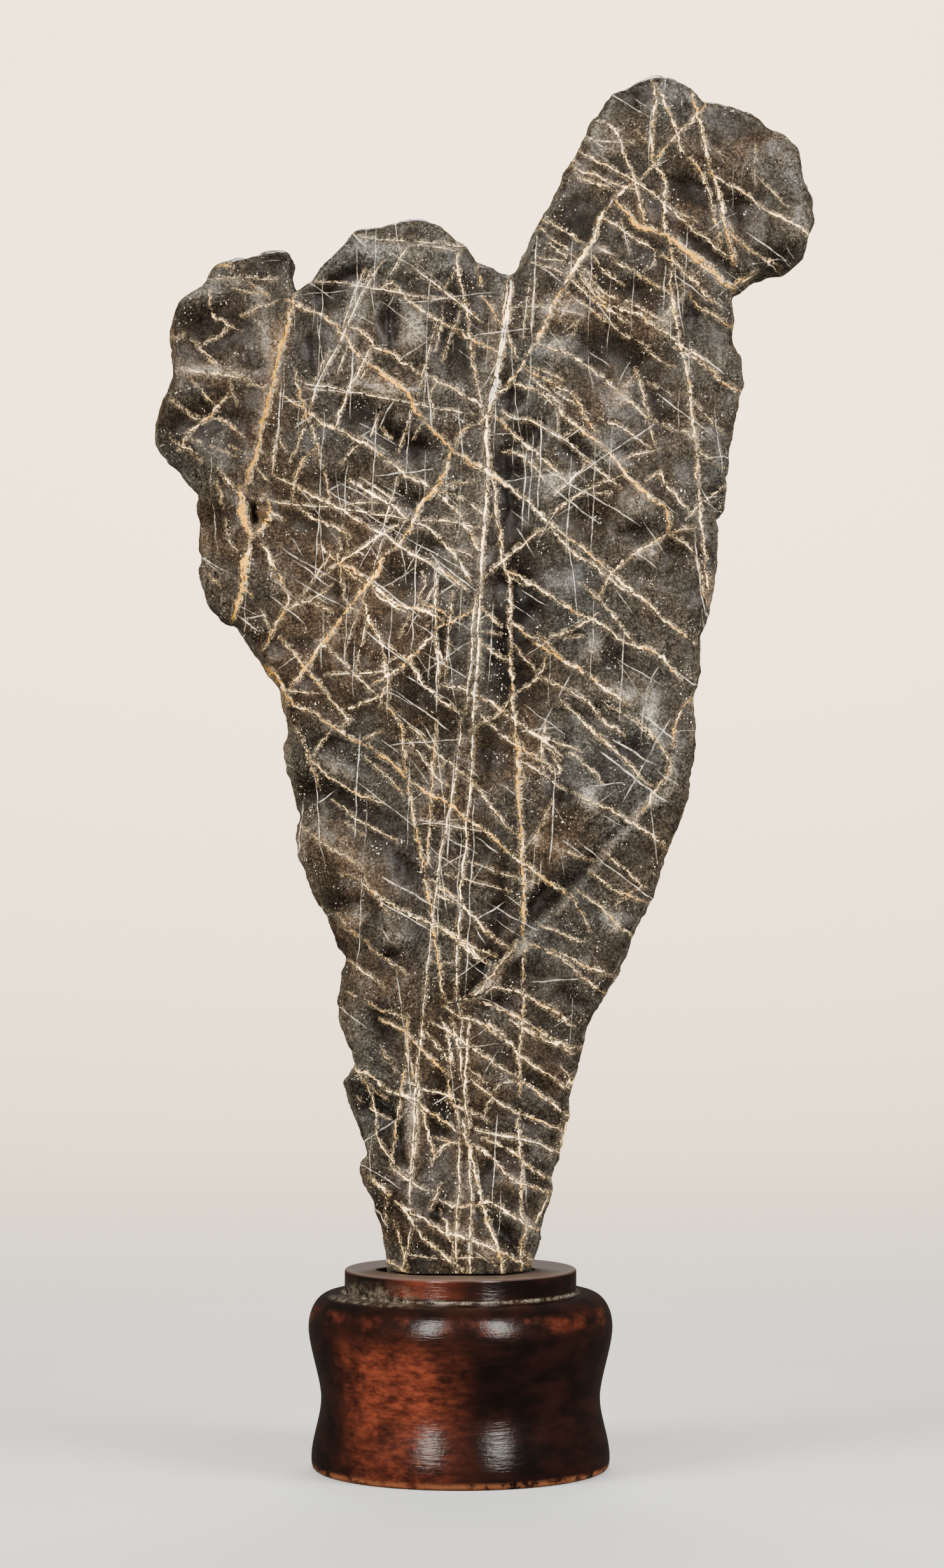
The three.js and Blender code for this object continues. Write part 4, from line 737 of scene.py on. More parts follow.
# Veins of the front face: width in millimetres, tint (-1 grey-white, 0 cream, 1 rust), and the line it
# follows, in the photograph's pixels
veins = {
    "left lobe": [
        (1.3, 0.95, "462,462 453,500 446,540 435,575 426,612 416,650 408,690 397,725 386,764"),
        (1.6, 0.9, "450,472 468,482 492,492"), (0.5, 0.7, "390,445 405,455 422,470"),
        (0.3, -0.4, "365,455 390,460 412,466"), (0.55, 0.0, "380,498 398,487 420,480 433,475"),
        (0.35, 0.0, "330,447 329,468 335,495 348,502 362,514 378,520"),
        (0.4, 0.0, "360,515 342,526 322,538"), (0.4, 0.1, "270,530 281,532 288,524"),
        (0.3, 0.1, "300,533 317,547 335,570 348,584"), (0.4, 0.0, "302,597 317,617 340,638"),
        (0.35, 0.1, "265,627 285,642 300,654 322,664"),
        (0.65, 0.1, "361,617 345,634 322,657 300,678 290,690 286,704 276,708"),
        (0.5, 0.1, "322,659 345,660 362,668 380,686"), (0.5, 0.1, "268,690 287,703 303,711 316,728"),
        (0.35, 0.1, "300,690 332,703"), (0.3, 0.1, "335,705 370,716"), (0.35, 0.0, "358,700 384,712"),
        (0.25, -0.5, "360,590 365,618 371,637"), (0.35, 0.0, "280,580 330,588 370,592 400,604 424,610"),
        (0.3, -0.2, "362,580 382,592 398,598"), (0.5, 0.1, "343,738 358,758 376,778"),
        (0.25, -0.7, "330,440 390,438 452,442"), (0.25, -0.6, "400,505 414,520 423,547"),
        (0.4, -0.3, "440,672 432,702 428,742"), (0.3, -0.2, "437,680 446,700 451,713"),
        (0.4, 0.1, "405,705 420,713"), (0.5, 0.1, "404,735 424,760"), (0.8, 0.9, "345,417 366,420"),
        (0.25, -0.6, "366,426 376,446"), (0.3, 0.0, "340,757 350,800"),
        (0.35, 0.1, "352,820 360,848 372,864"), (0.4, 0.0, "328,903 350,922"),
    ],
    "seam below the hollow": [
        (2.5, 1.0, "372,766 378,788 382,808 392,836"),
        (1.7, 0.95, "386,818 394,842 389,872 383,905 377,937 366,974"),
        (1.2, 0.8, "396,938 382,925 370,912"), (0.8, 0.8, "414,776 423,792 424,812 414,830 399,846"),
        (0.5, 0.2, "394,785 404,788 414,786"), (0.3, -0.4, "422,786 470,792 530,799 600,810 640,815"),
        (0.45, 0.0, "421,800 444,818"),
        (0.55, 0.4, "412,853 424,876 432,898 450,928 455,942 441,966 429,990 412,1022"),
        (0.4, 0.1, "421,894 440,918"), (0.45, 0.0, "443,963 470,948 495,937 523,919"),
        (0.4, 0.2, "409,960 417,976 425,994"), (0.5, 0.3, "493,945 520,962"),
        (0.55, 0.85, "436,1000 465,1030 483,1054 505,1078 526,1110"),
        (0.8, 0.8, "420,1045 437,1070 452,1108"),
        (0.4, 0.0, "492,1000 512,1015 540,1040 562,1064 590,1090"), (0.35, -0.3, "447,1085 500,1090"),
    ],
    "top": [
        (0.3, -0.6, "647,380 630,400 617,425 606,442"),
        (0.4, -0.7, "604,408 578,445 560,480 530,545 505,590 483,648"), (0.3, -0.8, "583,422 572,446"),
        (0.3, 0.0, "515,552 503,578 495,600"), (0.3, -0.8, "545,545 528,590"),
        (0.4, -0.7, "477,603 530,611 600,625 665,637 745,652"), (0.3, -0.8, "478,609 520,615 575,617"),
        (0.35, -0.5, "483,446 530,443 600,457 650,463 716,470"), (0.25, -0.9, "560,373 640,379 745,392"),
        (0.25, -0.9, "660,386 722,396"), (0.55, -0.1, "580,543 572,562 556,595 542,625 530,656 526,670"),
        (0.35, -0.4, "580,560 568,592 552,612"),
        (0.5, 0.1, "549,514 570,525 590,548 613,553 635,572 660,587"),
        (0.5, 0.0, "660,587 700,603 735,625 752,637 760,657"),
        (0.45, 0.0, "600,456 607,446 616,445 627,455"),
        (0.6, 0.2, "625,455 650,478 680,495 722,520 755,541 793,560"),
        (0.4, 0.2, "718,376 717,415 727,455 736,495 739,535 748,590 754,634"),
        (0.4, 0.7, "750,416 757,462"), (0.45, 0.6, "752,464 767,474 779,502 797,530 811,565"),
        (0.5, -0.4, "648,422 677,440 703,460 733,484 757,506"), (0.25, -0.7, "717,425 700,452"),
        (0.35, -0.2, "700,480 695,515 685,553"), (0.25, -0.8, "690,500 668,575 656,622"),
        (0.25, -0.8, "722,490 704,545 696,568"), (0.35, -0.1, "686,600 676,620 680,640 680,662"),
        (0.4, 0.2, "600,672 607,682 616,690"), (0.3, -0.5, "650,640 636,680 626,716"),
        (0.25, -0.8, "665,662 646,696"), (0.3, -0.7, "597,650 575,700"),
        (0.3, -0.8, "574,422 560,450 536,520"),
    ],
    "main diagonal": [
        (0.75, 0.35, "490,487 515,503 543,530 552,545 578,569"),
        (1.1, 1.1, "578,569 612,597 640,617 655,645 668,660"), (0.95, 1.0, "668,660 690,684 713,708"),
        (0.9, 0.2, "713,708 740,725 775,747 814,776 850,809 886,840"),
        (0.7, 0.25, "886,840 912,857 935,879 960,898 1005,939 1043,971 1091,1012"),
        (0.4, 0.2, "725,722 748,735 766,742"), (0.45, 0.1, "868,831 896,866 931,888 963,914 995,936"),
    ],
    "middle left": [
        (0.5, 0.1, "434,617 470,637 498,662 530,675 575,700 610,722"),
        (0.8, 0.1, "610,722 640,748 683,770"), (0.55, 0.1, "683,772 712,800 733,830 757,868 763,885"),
        (0.4, 0.0, "692,773 730,787 760,808 777,814"), (0.8, -0.2, "550,753 580,775 615,797 645,817"),
        (0.5, -0.1, "645,817 675,833 705,862 743,915"), (0.4, -0.3, "566,752 597,772 622,792"),
        (0.5, 0.25, "430,745 462,762 497,783 532,800 565,820 600,838 630,857 675,886 738,928"),
        (0.45, 0.2, "465,792 485,812 535,832 551,843"), (0.3, -0.6, "530,799 552,792 592,790"),
        (0.5, 0.0, "504,905 535,883 570,862 600,840 640,815"), (0.5, 0.4, "495,855 515,870 540,885"),
        (0.35, 0.0, "533,845 534,880 541,942"), (0.3, 0.0, "545,843 549,867"),
        (0.8, 0.35, "530,880 560,900 600,930 628,950 660,957 700,978"),
        (0.5, 0.0, "585,925 610,946 640,963"), (0.45, 0.7, "655,945 685,957 716,976"),
        (0.4, 0.0, "535,886 558,908 578,922"),
        (1.0, 0.6, "712,706 700,742 686,769 668,788 657,805 643,834 624,858"),
        (1.1, 0.95, "624,858 606,872 598,892 580,918 556,946"),
        (0.9, 1.0, "556,946 525,987 505,1013 483,1046 450,1082"),
        (0.7, 0.3, "750,955 716,974 690,985 666,1012 645,1036 612,1060 584,1075"),
        (0.45, 0.0, "592,1051 628,1032"), (0.5, 0.5, "568,935 580,975 597,1005 606,1045 612,1100"),
        (0.5, 0.2, "605,1010 645,1042 662,1070 690,1100 722,1120"),
        (0.3, -0.7, "576,975 568,1010 558,1052"), (0.25, -0.8, "560,965 540,1036"),
        (0.25, -0.8, "610,800 600,860 588,905"), (0.3, -0.7, "627,745 610,800 603,840"),
        (0.3, -0.3, "533,727 556,705 572,690"), (0.35, 0.2, "465,583 473,625 485,665 505,715"),
        (0.3, 0.0, "480,640 470,690 455,725"), (0.4, 0.3, "495,705 478,722 460,760 462,785"),
        (0.3, 0.3, "498,712 512,750 515,800"), (0.4, 0.0, "690,769 717,762 750,756"),
        (0.35, -0.5, "650,817 700,820 765,832"), (0.4, -0.3, "705,860 740,873 766,884"),
        (0.35, 0.0, "664,900 668,915 655,940"), (0.3, -0.3, "683,920 668,950"),
        (0.35, -0.2, "685,880 684,1000 690,1080"), (0.3, -0.5, "712,930 705,1000 698,1070"),
        (0.3, -0.3, "645,965 633,985 628,1000"), (0.3, 0.0, "672,975 664,1000"),
        (0.45, 0.2, "680,1005 690,1030 700,1050"), (0.3, -0.2, "541,942 566,966"),
        (0.3, -0.6, "510,1060 560,1058 615,1052"), (0.4, -0.2, "694,1075 740,1086 768,1104"),
        (0.45, 0.3, "612,1068 600,1090 596,1110"), (0.3, -0.2, "470,945 482,925 520,870"),
    ],
    "uprights": [
        (1.5, -0.6, "804,437 797,490 790,530 783,580 775,615 768,650"),
        (0.5, -0.3, "797,440 788,520 778,590 770,640"),
        (1.0, -0.45, "768,650 764,700 767,741 762,796 759,853 757,907"),
        (0.7, -0.4, "757,907 753,960 751,1020 746,1083 743,1146"),
        (0.4, -0.5, "748,935 742,1000 738,1060 731,1120"), (0.4, -0.4, "767,660 764,690 771,735"),
        (0.5, -0.45, "743,1146 738,1260 728,1358 719,1470 717,1553 723,1585"),
        (0.35, -0.6, "725,1130 708,1267 694,1338 679,1452 668,1562 664,1610"),
        (0.55, 0.1, "771,738 778,780 782,830 788,875 798,904 801,952 799,990 801,1019"),
        (0.7, 0.5, "801,1019 806,1080 811,1150"),
        (1.1, 0.75, "811,1150 815,1200 819,1293 822,1380 823,1471"),
        (0.35, 0.1, "823,1471 822,1540 822,1600 817,1660"), (0.5, 0.5, "815,1655 815,1722"),
        (0.45, 0.2, "815,1745 813,1772 820,1832 820,1912 822,1945 818,2000"),
        (0.35, 0.7, "684,1130 680,1215 675,1300 669,1384"),
        (0.55, 0.7, "641,1222 651,1290 664,1358 676,1423 689,1514 697,1569"),
        (0.5, 0.6, "604,1105 626,1135 634,1180 641,1222"), (0.3, -0.7, "832,440 828,480 821,532"),
        (0.25, -0.8, "840,444 834,520"), (0.25, -0.8, "805,484 860,486 918,497"),
    ],
    "right lobe": [
        (0.65, 0.15, "1024,125 1030,142 1027,190 1024,220 1030,258 1044,283 1046,355 1057,400 1056,450"),
        (0.7, 0.2, "1056,450 1062,490 1069,540 1080,590 1087,650 1095,705"),
        (0.55, 0.1, "1095,705 1100,780 1104,840 1111,890 1113,935"),
        (0.5, 0.1, "1030,130 1047,165 1060,200 1070,230 1105,280 1118,312 1125,350 1133,388"),
        (0.9, 0.4, "1087,143 1092,175 1102,203 1113,245 1121,283 1137,330 1143,365 1155,418"),
        (0.4, 0.2, "1143,345 1157,375 1190,402 1228,422"),
        (0.5, 0.4, "1107,166 1090,187 1062,212 1042,235 1027,260 1007,280"),
        (0.6, 0.3, "1007,280 975,302 955,325"), (1.2, 0.3, "955,325 940,350 930,380 905,420 883,455"),
        (1.0, 0.35, "883,455 865,487 856,512 843,537"),
        (0.6, 0.2, "843,537 826,560 812,583 795,608 775,633 763,656 745,668"),
        (0.55, 0.2, "745,668 728,676 720,692 712,706"),
        (1.15, 0.95, "968,312 985,333 1003,357 1030,362 1045,369"),
        (1.9, 1.1, "1040,366 1068,386 1100,410 1135,440 1154,457"),
        (0.8, 0.3, "1150,448 1170,436 1188,428"),
        (0.5, 0.1, "942,193 968,205 980,240 998,280 1006,318 1015,358"),
        (0.45, -0.2, "912,240 950,258 990,280 1030,306 1065,340 1110,375 1150,407"),
        (0.55, 0.1, "900,265 935,275 975,290 1002,298"), (0.5, 0.1, "905,281 945,290 968,302"),
        (0.4, 0.2, "905,250 903,268 912,280"), (0.35, 0.1, "860,343 888,362 920,384"),
        (0.35, 0.1, "845,355 875,380 905,404"), (0.4, 0.0, "860,380 900,412 937,434"),
        (0.3, -0.4, "838,404 870,410 902,415"), (0.3, -0.2, "835,414 870,425 895,437"),
        (0.5, 0.0, "940,340 980,362 1033,394"), (0.4, -0.1, "1033,394 1027,418 1013,429"),
        (0.4, 0.2, "960,402 985,420 1020,441 1056,462"),
        (0.5, 0.25, "1040,398 1070,420 1100,450 1117,469 1136,481"),
        (0.45, 0.6, "1085,460 1100,482 1130,500 1152,520"),
        (0.5, -0.1, "1110,270 1140,288 1170,303 1200,327"),
        (0.8, -0.2, "1200,327 1235,347 1257,360 1275,376"), (0.3, -0.6, "1125,236 1146,246"),
        (0.25, -0.9, "1187,225 1186,292"), (0.3, -0.3, "1194,280 1236,325"),
        (0.3, -0.5, "1060,330 1092,347"), (0.4, 0.0, "930,400 952,424 982,446"),
        (0.4, 0.0, "905,424 930,450 958,472"), (0.9, -0.2, "940,388 962,397"),
        (0.3, -0.4, "918,222 940,222 1000,224"), (0.3, -0.3, "1000,205 1020,225"),
        (0.45, 0.2, "850,343 862,352"), (0.3, -0.6, "975,345 990,400"),
    ],
    "right of the middle": [
        (0.55, 0.2, "893,436 920,460 950,483 992,508"), (0.55, 0.1, "913,438 955,478 1005,492 1036,516"),
        (0.35, -0.2, "925,434 950,458 1000,480 1046,504"), (0.4, 0.1, "888,460 915,478 945,500 967,516"),
        (0.35, -0.3, "960,510 990,530 1022,546"),
        (0.7, 0.2, "1033,514 1065,537 1105,567 1133,598 1167,618"),
        (0.4, 0.1, "1053,540 1085,560 1116,583"), (0.5, -0.1, "845,540 890,555 935,583 972,617"),
        (0.6, 0.0, "972,617 995,637 1017,655"), (0.35, -0.1, "1015,655 1024,683 1031,699"),
        (0.4, -0.1, "1000,580 1010,615 1020,655"), (0.4, -0.1, "1001,588 980,610"),
        (0.45, 0.4, "823,578 870,603 902,622 918,650 943,687"), (0.35, 0.1, "830,575 860,585 885,598"),
        (0.5, 0.2, "803,600 850,618 875,637"), (1.0, 0.35, "875,637 905,672 945,698"),
        (0.5, 0.1, "830,590 860,615 885,640"), (0.35, 0.1, "868,610 890,628 915,642"),
        (0.45, -0.2, "788,645 805,656 835,660 865,678 895,697 922,724"),
        (0.5, 0.1, "760,650 790,665 830,702 887,752"), (0.35, -0.5, "788,659 840,660"),
        (0.4, -0.1, "878,691 905,675"), (0.3, -0.6, "895,470 876,506"), (0.3, -0.6, "907,505 888,521"),
        (0.3, -0.6, "905,508 897,531"), (0.4, -0.2, "943,658 975,672 1022,702"),
        (0.35, 0.1, "1025,660 1055,672 1085,684 1094,698"), (0.3, -0.4, "1010,545 1040,570 1060,577"),
        (0.3, -0.4, "1018,600 1056,623"), (0.35, -0.3, "1040,502 1075,464"),
        (0.35, 0.0, "1055,446 1082,445"),
        (1.0, 0.85, "944,700 972,728 995,757 1027,786 1046,800 1052,834"),
        (0.35, -0.3, "976,726 995,716 1035,705"), (0.5, 0.2, "1017,755 1036,741 1045,760 1084,808"),
        (0.3, -0.3, "1090,703 1135,736"), (0.3, -0.3, "1080,620 1136,682"),
        (0.25, -0.8, "876,648 878,692"), (0.5, 0.1, "896,700 944,741 975,768"),
        (0.45, 0.0, "826,700 868,735 890,757"), (0.35, -0.1, "788,710 817,713 860,762"),
        (0.55, 0.1, "763,906 804,869 845,837 868,831"), (0.4, 0.0, "861,812 899,786 931,765 980,748"),
        (0.3, -0.1, "915,778 960,775"), (0.6, -0.4, "872,778 923,731"),
        (0.4, -0.2, "1075,821 1100,795 1140,763"), (0.4, 0.1, "1052,837 1091,828"),
        (0.5, 0.15, "1052,837 1001,869 966,896 941,940"), (0.4, 0.0, "1052,838 1092,870 1113,955"),
        (0.4, 0.0, "940,937 973,981 1001,1012"), (0.4, 0.0, "910,919 944,942"),
        (0.55, 0.1, "788,891 826,910 899,958 938,977 982,1009 1027,1022 1072,1067"),
        (0.4, 0.0, "790,898 812,914 832,917"),
        (0.75, 0.35, "799,973 839,1006 893,1041 931,1067 989,1106"), (0.3, 0.0, "958,1110 993,1128"),
        (0.45, 0.0, "757,957 789,985"), (0.4, -0.2, "757,993 790,997"), (0.5, 0.0, "755,1013 798,1039"),
        (0.6, -0.2, "866,1001 912,984 938,965"), (0.3, -0.2, "890,1001 916,1000"),
        (0.4, 0.6, "847,996 884,1033"), (0.35, 0.0, "806,1011 852,1065"),
        (0.4, 0.1, "811,1093 842,1067 862,1031"), (0.35, 0.0, "790,1119 805,1098"),
        (0.35, 0.0, "738,1147 781,1124 794,1114"), (0.65, 0.1, "740,1086 785,1115 845,1159 882,1189"),
        (0.4, 0.0, "746,1110 781,1146 849,1198"), (0.45, 0.0, "856,1066 922,1102 950,1134 983,1154"),
        (0.4, 0.0, "878,1101 950,1162 983,1198"), (0.35, 0.0, "993,1129 1053,1189"),
        (0.4, 0.3, "1091,1091 1065,1124 1058,1173"),
    ],
    "lower right": [
        # The first line is the pale lip of the raised layer's edge: a painted highlight drawn as a thin vein
        (0.3, -0.3, "700,1578 735,1568 756,1550 770,1533 790,1512 812,1480"),
        (0.85, 0.85, "641,1224 690,1257 754,1297 800,1341"), (0.75, 0.3, "800,1341 848,1376 896,1409"),
        (0.4, 0.0, "640,1140 686,1182 738,1224 808,1310"), (0.4, 0.0, "640,1163 703,1238"),
        (0.3, 0.7, "680,1211 703,1197"), (0.45, 0.1, "811,1137 848,1159 917,1183"),
        (0.4, 0.0, "811,1165 842,1189 875,1212"), (0.4, 0.0, "850,1171 881,1194"),
        (0.5, 0.1, "868,1191 882,1208 876,1216 862,1206"), (0.4, 0.0, "815,1191 868,1228 888,1243"),
        (0.35, 0.0, "889,1181 933,1211 948,1232"), (0.4, 0.0, "909,1129 965,1179 1025,1237"),
        (0.3, 0.0, "941,1129 982,1157"), (0.45, 0.3, "1000,1129 1048,1185 1050,1218 1024,1250 994,1287"),
        (0.45, 0.1, "899,1244 959,1273 1007,1302 1048,1334"), (0.4, 0.0, "872,1332 931,1355"),
        (0.45, 0.1, "950,1339 1015,1394"), (0.45, 0.1, "928,1371 965,1397 1020,1420"),
        (0.35, 0.1, "1015,1386 967,1422"), (0.45, 0.1, "906,1399 939,1423 994,1476"),
        (0.35, 0.0, "900,1409 927,1463"), (0.4, 0.1, "844,1451 884,1468 917,1481"),
        (0.6, 0.15, "822,1481 881,1507 952,1562"), (0.45, 0.1, "867,1493 907,1510 968,1536"),
        (0.6, 0.15, "756,1549 803,1556 861,1585 901,1612"),
        (0.6, 0.1, "753,1571 816,1602 875,1638 900,1655"), (0.5, 0.2, "698,1584 747,1605 797,1635"),
        (0.5, 0.1, "675,1382 721,1419 770,1468 802,1490"), (0.35, 0.0, "675,1402 726,1425"),
        (0.5, 0.1, "639,1435 699,1465 734,1494 774,1516"), (0.35, 0.0, "681,1451 744,1488 784,1502"),
        (0.25, -0.7, "646,1286 770,1308"), (0.25, -0.7, "733,1353 849,1391"),
        (0.25, -0.7, "698,1373 804,1401"), (0.25, -0.7, "672,1514 716,1514"),
        (0.4, 0.3, "858,1130 850,1170 856,1230"), (0.3, 0.0, "868,1255 845,1310 822,1335"),
    ],
    "lower left": [
        (0.7, 0.6, "445,1086 462,1109 491,1121 522,1141 552,1160 583,1178"),
        (1.0, 1.0, "583,1178 614,1199 641,1224"), (0.45, 0.0, "509,1085 537,1120 549,1132 534,1145"),
        (0.45, 0.0, "537,1117 583,1101 614,1083"), (0.45, -0.2, "523,1145 488,1191"),
        (0.3, 0.0, "466,1143 488,1196 501,1240"), (0.3, 0.0, "567,1167 599,1149"),
        (0.45, 0.0, "487,1192 519,1221 552,1242 605,1265"), (0.35, 0.0, "573,1189 633,1246"),
        (0.35, 0.0, "521,1260 565,1291 624,1323"), (0.3, 0.0, "542,1293 569,1314"),
        (0.3, 0.0, "502,1324 532,1340"), (0.3, 0.0, "571,1365 582,1395 609,1436"),
        (0.55, 0.25, "564,1382 601,1414 644,1438 684,1457"), (0.55, 0.2, "684,1457 724,1481 758,1506"),
        (0.3, 0.0, "533,1370 563,1381"), (0.4, 0.4, "530,1437 552,1460 581,1485"),
        (0.35, 0.1, "581,1487 642,1531"), (0.35, 0.1, "548,1508 605,1549"),
        (0.3, 0.0, "476,1300 520,1330 575,1366"), (0.35, 0.2, "545,1560 600,1585 640,1600"),
    ],
    "foot": [
        (0.7, 0.15, "550,1678 580,1690 610,1714 650,1727 690,1760 727,1781"),
        (0.3, 0.1, "563,1692 612,1731"), (0.75, 0.6, "597,1599 628,1615 665,1652 707,1690"),
        (0.75, 0.25, "705,1690 710,1720 724,1768"), (0.5, 0.0, "695,1600 707,1645 713,1692"),
        (0.45, 0.0, "708,1598 722,1650 730,1680"), (0.45, 0.0, "668,1623 700,1658 714,1672"),
        (0.5, -0.3, "665,1600 656,1670 652,1760 648,1830 642,1890"),
        (0.3, -0.5, "660,1690 655,1780 649,1855"),
        (0.45, 0.3, "640,1595 638,1675 626,1755 620,1795 613,1838"),
        (0.5, 0.05, "642,1660 658,1710 672,1780 686,1832"), (0.3, 0.0, "600,1650 622,1682"),
        (0.4, -0.2, "635,1697 665,1712 700,1720 727,1733"), (0.45, -0.1, "702,1729 767,1763"),
        (0.3, -0.4, "560,1725 580,1745 614,1761"), (0.6, -0.3, "738,1598 734,1660 733,1720 737,1782"),
        (0.4, -0.4, "728,1590 724,1640 728,1700"), (1.5, -0.05, "728,1762 732,1793"),
        (0.95, 0.15, "735,1788 745,1835 757,1885 770,1930 787,1972 790,2002"),
        (0.6, -0.3, "737,1800 740,1880 740,1950 738,2004"),
        (0.4, -0.4, "722,1790 721,1860 718,1920 718,2002"),
        (0.4, 0.1, "725,1795 700,1797 683,1815 679,1828"), (0.35, 0.0, "673,1786 716,1796"),
        (0.55, -0.35, "748,1776 800,1787 850,1800 886,1815"),
        (0.55, 0.1, "758,1789 800,1806 830,1833 867,1852"),
        (0.6, 0.0, "742,1798 775,1822 805,1855 872,1876"),
        (0.55, 0.05, "738,1693 785,1735 840,1760 884,1777"),
        (0.65, 0.1, "678,1604 740,1645 800,1685 860,1728 896,1760"),
        (0.6, 0.0, "733,1597 785,1622 830,1668 902,1716"),
        (0.55, 0.0, "798,1604 840,1625 865,1638 911,1648"), (0.4, 0.0, "866,1597 902,1614"),
        (0.5, 0.0, "739,1679 763,1704"), (0.4, -0.3, "775,1720 787,1704 817,1698"),
        (0.45, -0.1, "777,1716 768,1735 758,1757"),
        (0.62, 0.1, "580,1850 612,1874 640,1905 675,1950 733,2004"), (0.8, 0.1, "585,1855 618,1880"),
        (0.65, 0.1, "618,1884 665,1915 720,1942 765,1957 830,1990"),
        (0.4, -0.3, "612,1835 655,1862 680,1872"),
        (0.55, 0.0, "690,1884 720,1898 775,1889 825,1925 851,1932"),
        (0.35, 0.0, "691,1899 708,1940 718,1977"), (0.35, 0.0, "608,1868 607,1922"),
        (0.35, 0.0, "621,1918 632,1960 641,1992"), (0.4, -0.4, "652,1915 638,1970 634,1990"),
        (0.35, -0.2, "692,1858 672,1906"), (0.55, 0.0, "598,1974 625,1990 647,2004"),
        (0.3, -0.3, "638,1969 702,1980"), (0.3, -0.3, "708,1978 762,1978"),
        (0.45, -0.4, "862,1878 848,1908 836,1928"), (0.35, -0.4, "880,1676 896,1694"),
        (0.9, 0.1, "896,1745 886,1772 877,1802"), (0.4, -0.3, "906,1680 884,1717"),
        (0.5, 0.0, "818,1960 838,1988"), (0.35, -0.3, "575,1690 600,1800 640,1850"),
        (0.4, -0.3, "760,1965 780,1990"),
    ],
}

# Open cracks, painted near-black as the shade inside them: width in millimetres, and the line
cracks = [
    (0.8, "380,776 388,786 394,792 398,804 399,818 401,833"), (0.6, "393,790 397,797"),
    (0.6, "399,826 401,833"), (0.4, "462,474 460,492"), (0.3, "449,508 446,536"),
    (0.35, "441,560 433,582"), (0.3, "428,590 425,614"), (0.35, "780,1530 760,1552 734,1569 700,1580"),
    (0.4, "757,416 752,424"), (0.3, "700,1583 690,1590"), (0.25, "418,655 414,672"),
    (0.3, "660,652 676,668"), (0.25, "1078,398 1096,410"),
]
vein_margin = 0.9
vein_taper = 3.5
blunt_end = 0.15
braided_from = 0.6
core_share, strand_share, strand_offset = 0.62, 0.62, 0.34
braid_least, braid_swing, braid_length, braid_shift = 0.45, 0.55, 2.3, 9
far_off, never_reached = 3.0, -1.0
sight_points = seen + np.stack([
    tiers((0.2, 3.0, 11), (0.25, 11, 13)),
    tiers((0.2, 3.0, 12), (0.25, 11, 14)),
], axis=1)


def strands(width, tint, text):
    """Thin veins are one strand. Broad ones are two, which part and join again like a braid."""
    core = width * core_share
    if width < braided_from:
        return [(core, tint, text, 0.0)]
    return [(core * strand_share, tint, text, side * core * strand_offset) for side in (-1, 1)]


def measure_strand(width, text, offset):
    """The points near a strand, and for each its distance from the strand's middle and half its width
    there, negative past its ends and sides."""
    line = drawn_smoothly(read_line(text))
    reach = width / 2 + 2 * vein_margin + abs(offset)
    low, high = line.min(axis=0) - reach, line.max(axis=0) + reach
    near = np.flatnonzero(((sight_points > low) & (sight_points < high)).all(axis=1))
    across, passed, inside = measured_from(line, sight_points[near])
    winding = np.sin(passed / braid_length + braid_shift * offset)
    across = across - offset * (braid_least + braid_swing * winding)
    touched = np.abs(across) < width / 2 + 2 * vein_margin
    near, across, inside = near[touched], across[touched], inside[touched]
    half_width = width / 2 * np.clip(inside / vein_taper + blunt_end, -1, 1)
    half_width[np.abs(across) > width / 2 + vein_margin] = never_reached
    return near, across, half_width


def empty_layer():
    """For each point of the slab: its distance from a vein, half the vein's width, and its tint."""
    return np.tile(np.array([far_off, never_reached, 0.0], np.float32), (count, 1))


# A point can be near several veins, so each strand goes to the first layer with room for it
layers = []
free = []
for region in veins.values():
    for vein in region:
        for width, tint, text, offset in strands(*vein):
            near, across, half_width = measure_strand(width, text, offset)
            chosen = next((index for index, room in enumerate(free) if room[near].all()), None)
            if chosen is None:
                chosen = len(layers)
                layers.append(empty_layer())
                free.append(np.ones(count, bool))
            layers[chosen][near] = np.stack([across, half_width, np.full(len(near), tint)], axis=1)
            free[chosen][near] = False
open_cracks = empty_layer()
for width, text in cracks:
    near, across, half_width = measure_strand(width, text, 0.0)
    nearer = np.abs(across) < np.abs(open_cracks[near, 0])
    open_cracks[near[nearer]] = np.stack([across, half_width, np.zeros(len(near))], axis=1)[nearer]


def keep_on_slab(name, values):
    """Stores three numbers for each point of the slab, for its material to read: a layer of veins, or
    where the point is seen and how much it is part of the pebble, or its tone with painted sheen and
    shade, its stain and hairlines."""
    attribute = slab.data.attributes.new(name, "FLOAT_VECTOR", "POINT")
    attribute.data.foreach_set("vector", np.asarray(values, np.float32).ravel())


for index, layer in enumerate(layers):
    keep_on_slab(f"veins_{index}", layer)
keep_on_slab("cracks", open_cracks)
keep_on_slab("sight", np.column_stack([sight_points, pebble]))
# Its first number holds the tone, with the painted sheen and shade
keep_on_slab("sheen_shade_stain_hairlines", np.column_stack([shade, warmth, density]))


